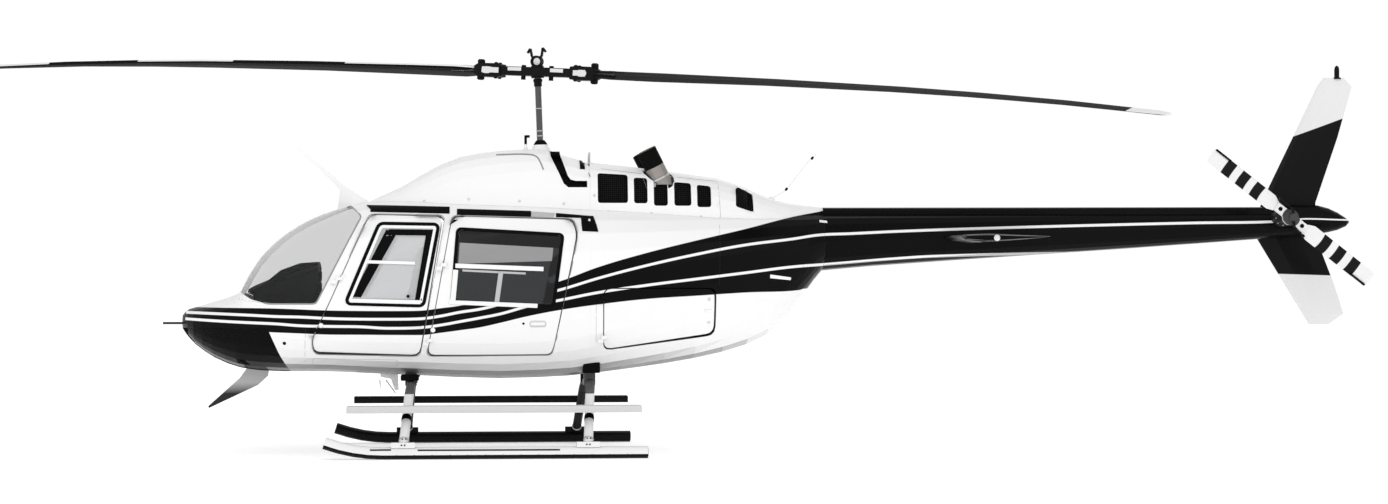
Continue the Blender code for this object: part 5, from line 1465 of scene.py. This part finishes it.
class HELICOPTER_OT_fittings(bpy.types.Operator):
    """Adds antennas, ports, blank plates, panel lines and rivets to the body"""
    bl_idname = "helicopter.fittings"
    bl_label = "Body fittings"

    def execute(self, context):
        body = Skin("nose_shell", "cabin_belly", "cabin_frame", "cabin_roof", "aft_fuselage",
            "pylon_cowl", "engine_cowl", "aft_fairing", "tail_boom", "tail_cone")
        # bent whip antenna with two beads
        root = body.top(0.90, 0.0)
        whip = pipe("whip_antenna", ((0.88, 0, root.z - 0.004), (0.93, 0, root.z + 0.030),
            (1.012, 0, 2.095), (1.178, 0, 2.302), (1.261, 0, 2.385)), 0.0035)
        fit(whip, "plain_white")
        beads = [turned("bead", ((0.005, -0.014), (0.010, -0.010), (0.010, 0.010), (0.005, 0.014)),
            spot, (0.62, 0, 0.78), 14) for spot in ((1.012, 0, 2.095), (1.223, 0, 2.347))]
        fit(joined("whip_antenna_beads", beads), "black_plastic")
        foot = turned("whip_antenna_foot", ((0.034, -0.006), (0.034, 0.003), (0.020, 0.008),
            (0.009, 0.020)), (0.885, 0, root.z), (0, 0, 1), 24)
        fit(foot, "plain_white")
        # L-shaped lifting bit in front of the mast
        hook = [block("post", (-1.104, -0.010, 2.446), (-1.083, 0.010, 2.522), 0.003),
            block("arm", (-1.090, -0.010, 2.502), (-1.060, 0.010, 2.523), 0.003)]
        fit(joined("pylon_hook", hook), "rubber")
        top = body.top(-1.0935, 0.0)
        foot = turned("pylon_hook_foot", ((0.020, -0.010), (0.020, 0.004), (0.014, 0.010),
            (0.012, 2.450 - top.z)), (-1.0935, 0.0, top.z), (0, 0, 1), 20)
        fit(foot, "plain_white")

        ports = []
        for label, side in SIDES:
            for x, z, radius in ((-2.975, 0.871, 0.014), (-3.40, 0.985, 0.010),
                    (3.150, 1.500, 0.010)):
                place, normal = body.seen((x, side * 3, z), (0, -side, 0))
                ports.append(turned("port", ((radius, -0.001), (radius, 0.0015),
                    (radius * 0.6, 0.0022)), place, normal, 18))
            for name, corners in (("blank_plate_upper", ((1.257, 1.824), (1.321, 1.818),
                    (1.321, 1.836), (1.257, 1.842))), ("blank_plate_lower",
                    ((0.833, 1.376), (1.005, 1.360), (1.008, 1.382), (0.833, 1.405)))):
                piece = area(f"{name}_{label}", on_side(body, side, 0.0012), corners, 4, 2, 0.0015)
                fit(piece, "plain_white")
            seams = []
            for path in (((-0.837, 1.112), (-0.884, 0.880)), ((-0.560, 1.175), (-0.560, 0.876)),
                    ((-2.810, 0.990), (-2.822, 0.700)), ((-3.370, 1.300), (-3.345, 1.215),
                    (-3.150, 1.185), (-2.985, 1.180), (-2.800, 1.172)),
                    ((1.295, 1.240), (1.295, 1.930)), ((0.420, 1.320), (0.430, 1.800))):
                seams.append(strip("seam", on_side(body, side, 0.0), path, 0.0025, 0.0012))
            hatch = rounded_path(((-2.76, 0.690), (-2.10, 0.690), (-2.10, 0.740), (-2.76, 0.752)),
                0.02, 3)
            seams.append(strip("seam", on_side(body, side, 0.0), hatch, 0.0025, 0.0012,
                closed=True))
            fit(joined(f"panel_lines_{label}", seams), "seam_paint")
            # rivet rows, painted with the skin they hold
            rows = []
            for path, pitch in ((((-2.90, 0.72), (-2.90, 1.16)), 0.030),
                    (((-0.64, 1.20), (-0.64, 1.71)), 0.030), (((-0.58, 0.90), (0.35, 0.78)),
                    0.032), (((-0.57, 1.34), (0.42, 1.34)), 0.032),
                    (((0.45, 1.00), (0.45, 1.75)), 0.030), (((0.88, 1.15), (0.88, 1.75)), 0.030),
                    (((-2.30, 1.962), (-0.65, 1.930)), 0.035), (((-1.90, 0.735), (-0.65, 0.725)),
                    0.035), (((1.45, 1.900), (5.10, 1.930)), 0.055),
                    (((1.50, 1.600), (5.05, 1.760)), 0.055)):
                for spot in fine_path([Vector(p) for p in path], pitch):
                    rows.append(body.seen((spot.x, side * 3, spot.y), (0, -side, 0)))
            piece = studs(f"body_rivets_{label}", rows, 0.0034, 0.0009, 6)
            fit(piece, "white_paint")
        fit(joined("static_ports", ports), "black_plastic")
        # rings of rivets round the boom
        rings = []
        for x in (1.34, 1.90, 2.20, 3.05, 3.40, 3.90, 4.40, 4.85, 5.14):
            middle = (body.top(x, 0.0).z + body.seen((x, 0.0, -1), (0, 0, 1))[0].z) / 2
            for k in range(36):
                angle = math.tau * (k + 0.5) / 36
                toward = Vector((0, math.cos(angle), math.sin(angle)))
                place, normal = body.seen(Vector((x, 0, middle)) + toward * 1.2, -toward)
                if (place - Vector((x, 0, middle))).length < 0.45:
                    rings.append((place, normal))
        fit(studs("boom_rivets", rings, 0.0034, 0.0009, 6), "boom_paint")
        return {"FINISHED"}


def inflated(name, size, voxel, swell, channels=()):
    """A stuffed pad about the origin: sewn box, swollen by cloth pressure, then stitched.

    channels are (axis, place) pairs of the seams that cross its upper face."""
    rest()
    size = Vector(size)
    bpy.ops.mesh.primitive_cube_add(size=1, scale=size)
    piece = settle(added(name))
    edit_all()
    bpy.ops.mesh.bevel(offset=min(size) * 0.28, segments=3, affect="EDGES")
    rest()
    apply(piece, "REMESH", mode="VOXEL", voxel_size=voxel)
    start = [vert.co.copy() for vert in piece.data.vertices]
    hold(piece)
    cloth = piece.modifiers.new("stuffing", "CLOTH")
    cloth.settings.quality = 4
    cloth.settings.use_pressure = True
    cloth.settings.uniform_pressure_force = 4.0
    cloth.settings.effector_weights.gravity = 0.0
    cloth.collision_settings.use_collision = False
    cloth.point_cache.frame_start = 1
    cloth.point_cache.frame_end = 20
    scene = bpy.context.scene
    for number in range(1, 21):
        scene.frame_set(number)
    swollen = piece.evaluated_get(bpy.context.evaluated_depsgraph_get()).data
    moves = [vert.co - home for vert, home in zip(swollen.vertices, start)]
    piece.modifiers.remove(cloth)
    scene.frame_set(1)
    for vert, home, move in zip(piece.data.vertices, start, moves):
        length = move.length
        capped = swell * math.tanh(length / swell) if length > 1e-7 else 0.0
        vert.co = home + (move * (capped / length) if length > 1e-7 else move)
    for vert in piece.data.vertices:
        for axis, place in channels:
            gap = abs(vert.co[axis] - place)
            if vert.co.z > size.z * 0.2 and gap < 0.024:
                vert.co.z -= 0.011 * math.exp(-(gap / 0.007) ** 2)
        vert.co.z = max(vert.co.z, -size.z / 2 - 0.004)
    return apply(piece, "SUBSURF", levels=1, render_levels=1)


def piped_edge(name, pad, size, height, radius=0.0045):
    """Piping sewn round a pad at one height."""
    tree = tree_of(pad.data)
    outline = rounded_path(((-size[0] / 2, -size[1] / 2), (size[0] / 2, -size[1] / 2),
        (size[0] / 2, size[1] / 2), (-size[0] / 2, size[1] / 2)), 0.05, 5)
    path = []
    for spot in fine_path(outline, 0.03, closed=True):
        away = Vector((spot.x, spot.y, height))
        place = tree.ray_cast(away * 1.6 + Vector((0, 0, -height * 0.6)),
            -Vector((spot.x, spot.y, 0)).normalized())[0]
        path.append(place or tree.find_nearest(away)[0])
    return pipe(name, path, radius, smooth=0, rings=2)


def copied(piece, name, matrix):
    """A copy with its own mesh, carried to another place."""
    twin = piece.copy()
    twin.data = piece.data.copy()
    twin.name = twin.data.name = name
    bpy.context.scene.collection.objects.link(twin)
    return moved(twin, matrix)


class HELICOPTER_OT_seats(bpy.types.Operator):
    """Stuffs and sews the front seats and the rear bench"""
    bl_idname = "helicopter.seats"
    bl_label = "Seats"

    def execute(self, context):
        swell = context.scene.helicopter_cabin.swell
        upright = turning(12.2) @ turning(-90)
        pads = (
            ("base", (0.375, 0.372, 0.082), 0.0075, ((1, -0.062), (1, 0.062)),
             Matrix.Translation((-2.185, 0, 1.070))),
            ("back", (0.500, 0.372, 0.062), 0.0075, ((1, -0.062), (1, 0.062), (0, -0.09)),
             Matrix.Translation((-1.938, 0, 1.385)) @ upright),
        )
        bench = (
            ("base", (0.400, 0.915, 0.082), 0.0105, ((1, -0.155), (1, 0.155)),
             Matrix.Translation((-1.028, 0, 1.070))),
            ("back", (0.540, 0.915, 0.062), 0.0105, ((1, -0.155), (1, 0.155), (0, -0.09)),
             Matrix.Translation((-0.757, 0, 1.412)) @ upright),
        )
        for part, size, voxel, channels, place in pads:
            pad = inflated(f"front_seat_{part}", size, voxel, swell, channels)
            trim = piped_edge(f"front_seat_{part}_piping", pad, size, size[2] * 0.30)
            for label, side in SIDES:
                shift = Matrix.Translation((0, side * SEAT_Y, 0)) @ place
                piece = copied(pad, f"front_seat_{part}_{label}", shift)
                fit(piece, "seat_cover", angle=70)
                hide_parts(f"front_seat_{label}")
                edge = copied(trim, f"front_seat_{part}_piping_{label}", shift)
                fit(edge, "webbing", angle=60)
            for piece in (pad, trim):
                bpy.data.objects.remove(piece)
        for part, size, voxel, channels, place in bench:
            pad = inflated(f"rear_bench_{part}", size, voxel, swell, channels)
            trim = piped_edge(f"rear_bench_{part}_piping", pad, size, size[2] * 0.30)
            for piece in (pad, trim):
                moved(piece, place)
            fit(pad, "seat_cover", angle=70)
            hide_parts("rear_seat_bench")
            fit(trim, "webbing", angle=60)
        return {"FINISHED"}


class HELICOPTER_OT_cabin(bpy.types.Operator):
    """Adds belts, instrument panel, sticks, pedals and trim to the cabin"""
    bl_idname = "helicopter.cabin"
    bl_label = "Cabin fittings"

    def belts(self, label, seat_y, base, back, half):
        """Lap and shoulder belts that lie on one seat place."""
        pads = [bpy.data.objects[pad].data for pad in (base, back)]
        seat, rear = map(tree_of, pads)
        middle = sum(v.co.x for v in pads[0].vertices) / len(pads[0].vertices)

        def on_back(y, z):
            place = rear.ray_cast(Vector((middle - 0.25, y, z)), Vector((1, 0, 0)))[0]
            place = place or rear.find_nearest(Vector((middle, y, z)))[0]
            return place + Vector((-0.003, 0, 0.0))

        def on_seat(y, x):
            place = seat.ray_cast(Vector((x, y, 1.6)), Vector((0, 0, -1)))[0]
            place = place or seat.find_nearest(Vector((x, y, 1.2)))[0]
            return place + Vector((0, 0, 0.003))

        pieces = []
        for side in (-1, 1):
            pieces.append(strip("belt", on_back, ((seat_y + side * 0.075, 1.60),
                (seat_y + side * 0.085, 1.26)), 0.044, 0.0022, step=0.03))
            pieces.append(strip("belt", on_seat, ((seat_y + side * half, middle + 0.13),
                (seat_y + side * 0.03, middle + 0.06)), 0.046, 0.0022, step=0.025))
        fit(joined(f"belts_{label}", pieces), "webbing", "black_plastic")
        spot = on_seat(seat_y, middle + 0.055)
        buckle = block(f"buckle_{label}", spot + Vector((-0.026, -0.030, -0.001)),
            spot + Vector((0.026, 0.030, 0.014)), 0.004)
        fit(buckle, "light_metal")

    def execute(self, context):
        for label, side in SIDES:
            self.belts(f"front_{label}", side * SEAT_Y, f"front_seat_base_{label}",
                f"front_seat_back_{label}", 0.165)
        for label, y in (("rear_left", -0.31), ("rear_middle", 0.0), ("rear_right", 0.31)):
            self.belts(label, y, "rear_bench_base", "rear_bench_back", 0.125)

        # glareshield over the console
        rest()
        bpy.ops.mesh.primitive_grid_add(x_subdivisions=10, y_subdivisions=12, size=1)
        hood = added("glareshield")
        for vert in hood.data.vertices:
            u, w = vert.co.x + 0.5, vert.co.y * 2
            x = -3.290 + 0.560 * u
            half = 0.09 + 0.21 * min(1.0, u * 1.4)
            z = 1.290 + 0.215 * u ** 0.85 - 0.055 * w * w * (0.4 + 0.6 * u)
            vert.co = (x, w * half, z)
        apply(hood, "SOLIDIFY", thickness=0.012, offset=-1)
        fit(soften(hood, 0.003), "black_plastic")
        cheeks = []
        for side in (-1, 1):
            def cheek(u, w, side=side):
                x = -3.285 + 0.545 * u
                half = 0.085 + 0.205 * min(1.0, u * 1.4)
                top = 1.275 + 0.215 * u ** 0.85 - 0.055 * (0.4 + 0.6 * u)
                foot = 1.262 - 0.120 * min(1.0, u * 2.2)
                return Vector((x, side * half * (1 - 0.10 * (1 - w)), foot + (top - foot) * w))
            cheeks.append(patch("cheek", cheek, 10, 4, 0.006))
        fit(joined("console_cheeks", cheeks), "black_plastic")
        board = block("instrument_board", (-2.744, -0.285, 1.150), (-2.732, 0.285, 1.448), 0.005)
        fit(board, "black_plastic")
        rims, faces, hands = [], [], []
        for row, (z, places, radius) in enumerate(((1.392, (-0.225, -0.135, -0.045, 0.045, 0.135,
                0.225), 0.037), (1.302, (-0.225, -0.135, -0.045, 0.045, 0.135, 0.225), 0.037),
                (1.222, (-0.20, -0.13, -0.06, 0.06, 0.13, 0.20), 0.026))):
            for column, y in enumerate(places):
                spot = Vector((-2.733, y, z))
                rims.append(turned("rim", ((radius + 0.005, 0.0), (radius + 0.005, 0.006),
                    (radius, 0.009), (radius - 0.003, 0.0085), (radius - 0.004, 0.003)), spot,
                    (1, 0, 0), 24))
                faces.append(turned("face", ((radius - 0.0035, 0.0028), (radius - 0.004, 0.0042)),
                    spot, (1, 0, 0), 24))
                angle = math.radians(40 * column + 65 * row)
                reach = Vector((0, math.sin(angle), math.cos(angle))) * radius * 0.62
                hands.append(rod("hand", spot + Vector((0.0052, 0, 0)) - reach * 0.25,
                    spot + Vector((0.0052, 0, 0)) + reach, 0.0014, 6, 0.0003))
        fit(joined("dial_rims", rims), "black_plastic")
        fit(joined("dial_faces", faces), "rubber")
        fit(joined("dial_hands", hands), "plain_white", "blade_white")
        boxes = [block("radio", (-2.790, -0.150, z), (-2.772, 0.150, z + 0.050),
            0.003) for z in (0.86, 0.93, 1.00, 1.07)]
        knobs = [turned("knob", ((0.011, 0.0), (0.011, 0.012), (0.008, 0.015)),
            (-2.773, y, z + 0.025), (1, 0, 0), 14) for z in (0.86, 0.93, 1.00,
            1.07) for y in (-0.125, 0.125)]
        fit(joined("console_boxes", boxes), "dark_metal", "black_plastic")
        fit(joined("console_knobs", knobs), "black_plastic")

        sticks, grips, boots = [], [], []
        for _, side in SIDES:
            y = side * SEAT_Y
            sticks.append(pipe("stick", ((-2.560, y, 0.798), (-2.600, y, 0.930),
                (-2.560, y, 1.080), (-2.500, y, 1.180)), 0.0125))
            grips.append(turned("grip", ((0.014, 0.0), (0.019, 0.010), (0.017, 0.045),
                (0.020, 0.080), (0.022, 0.110), (0.017, 0.128), (0.008, 0.134)),
                (-2.503, y, 1.172), (0.35, 0, 1), 20))
            boots.append(turned("boot", ((0.060, 0.0), (0.058, 0.010), (0.046, 0.018),
                (0.048, 0.026), (0.034, 0.034), (0.036, 0.042), (0.020, 0.052)),
                (-2.562, y, 0.795), (0, 0, 1), 24))
            y = side * 0.02
            sticks.append(rod("lever", (-1.960, y, 0.86), (-2.300, y, 1.105), 0.011, 16))
            grips.append(rod("handle", (-2.250, y, 1.069), (-2.395, y, 1.173), 0.0165, 18, 0.005))
            for pedal in (0.185, 0.365):
                y = side * pedal
                sticks.append(pipe("arm", ((-3.02, y, 0.797), (-3.03, y, 0.86), (-3.06, y, 0.905)),
                    0.009))
                grips.append(block("pedal", (-3.070, y - 0.048, 0.900), (-3.050, y + 0.048, 0.972),
                    0.005))
        fit(joined("control_tubes", sticks), "light_metal")
        fit(joined("control_grips", grips), "black_plastic")
        fit(joined("control_boots", boots), "rubber")

        # headliner, door linings and armrests
        roof = Skin("cabin_roof")

        def liner(u, w):
            x, y = -2.20 + 1.50 * u, -0.36 + 0.72 * w
            place = roof.seen((x, y, 1.0), (0, 0, 1))[0]
            return place + Vector((0, 0, -0.008))

        fit(patch("headliner", liner, 16, 10, 0.005), "cabin_trim")
        for label, side in SIDES:
            for door, corners in (("front", ((-2.640, 0.880), (-1.960, 0.860), (-1.925, 1.135),
                    (-2.550, 1.150))), ("rear", ((-1.820, 0.860), (-0.960, 0.865), (-0.905, 1.120),
                    (-1.730, 1.150)))):
                skin = Skin(f"{door}_door_{label}")

                def inner(x, z, skin=skin):
                    return skin.seen((x, 0.0, z), (0, side, 0))[0] + Vector((0, -side * 0.004, 0))

                piece = area(f"{door}_door_lining_{label}", inner, corners, 14, 6, 0.005)
                fit(piece, "cabin_trim", body=f"door_{door}_{label}")
                rest_piece = strip(f"{door}_door_armrest_{label}", lambda x,
                    z: inner(x, z) + Vector((0, -side * 0.022, 0)),
                    ((corners[0][0] + 0.16, 1.08), (corners[1][0] - 0.10, 1.07)), 0.040, 0.040)
                fit(soften(rest_piece, 0.008, 3), "black_plastic", body=f"door_{door}_{label}")
        return {"FINISHED"}


OPERATORS = (HELICOPTER_OT_paint, HELICOPTER_OT_glazing, HELICOPTER_OT_doors,
    HELICOPTER_OT_gutters, HELICOPTER_OT_cowl, HELICOPTER_OT_rotor_head, HELICOPTER_OT_tail,
    HELICOPTER_OT_gear, HELICOPTER_OT_fittings, HELICOPTER_OT_seats, HELICOPTER_OT_cabin,
    HELICOPTER_OT_stage)


# ---------------------------------------------------------------- panel and run
class HELICOPTER_PT_finishing(bpy.types.Panel):
    """Shows the settings and the operators in the sidebar."""
    bl_idname = "HELICOPTER_PT_finishing"
    bl_label = "Helicopter finishing set"
    bl_space_type = "VIEW_3D"
    bl_region_type = "UI"
    bl_category = "Helicopter"

    def draw(self, context):
        for group, _ in SETTINGS:
            box = self.layout.box()
            box.label(text=group.capitalize())
            settings = getattr(context.scene, "helicopter_" + group)
            for name in settings.__annotations__:
                box.prop(settings, name)
        for operator in OPERATORS:
            self.layout.operator(operator.bl_idname)


SETTINGS = (("paint", PaintSettings), ("cabin", CabinSettings), ("rotor", RotorSettings),
    ("gear", GearSettings), ("stage", StageSettings))
CLASSES = tuple(group for _, group in SETTINGS) + OPERATORS + (HELICOPTER_PT_finishing,)


def register():
    for item in CLASSES:
        bpy.utils.register_class(item)
    for name, group in SETTINGS:
        setattr(bpy.types.Scene, "helicopter_" + name, PointerProperty(type=group))


def unregister():
    for name, _ in SETTINGS:
        delattr(bpy.types.Scene, "helicopter_" + name)
    for item in reversed(CLASSES):
        bpy.utils.unregister_class(item)


def main():
    register()
    for operator in OPERATORS:
        getattr(bpy.ops.helicopter, operator.bl_idname.split(".")[1])()
    rest()


if __name__ == "__main__":
    main()
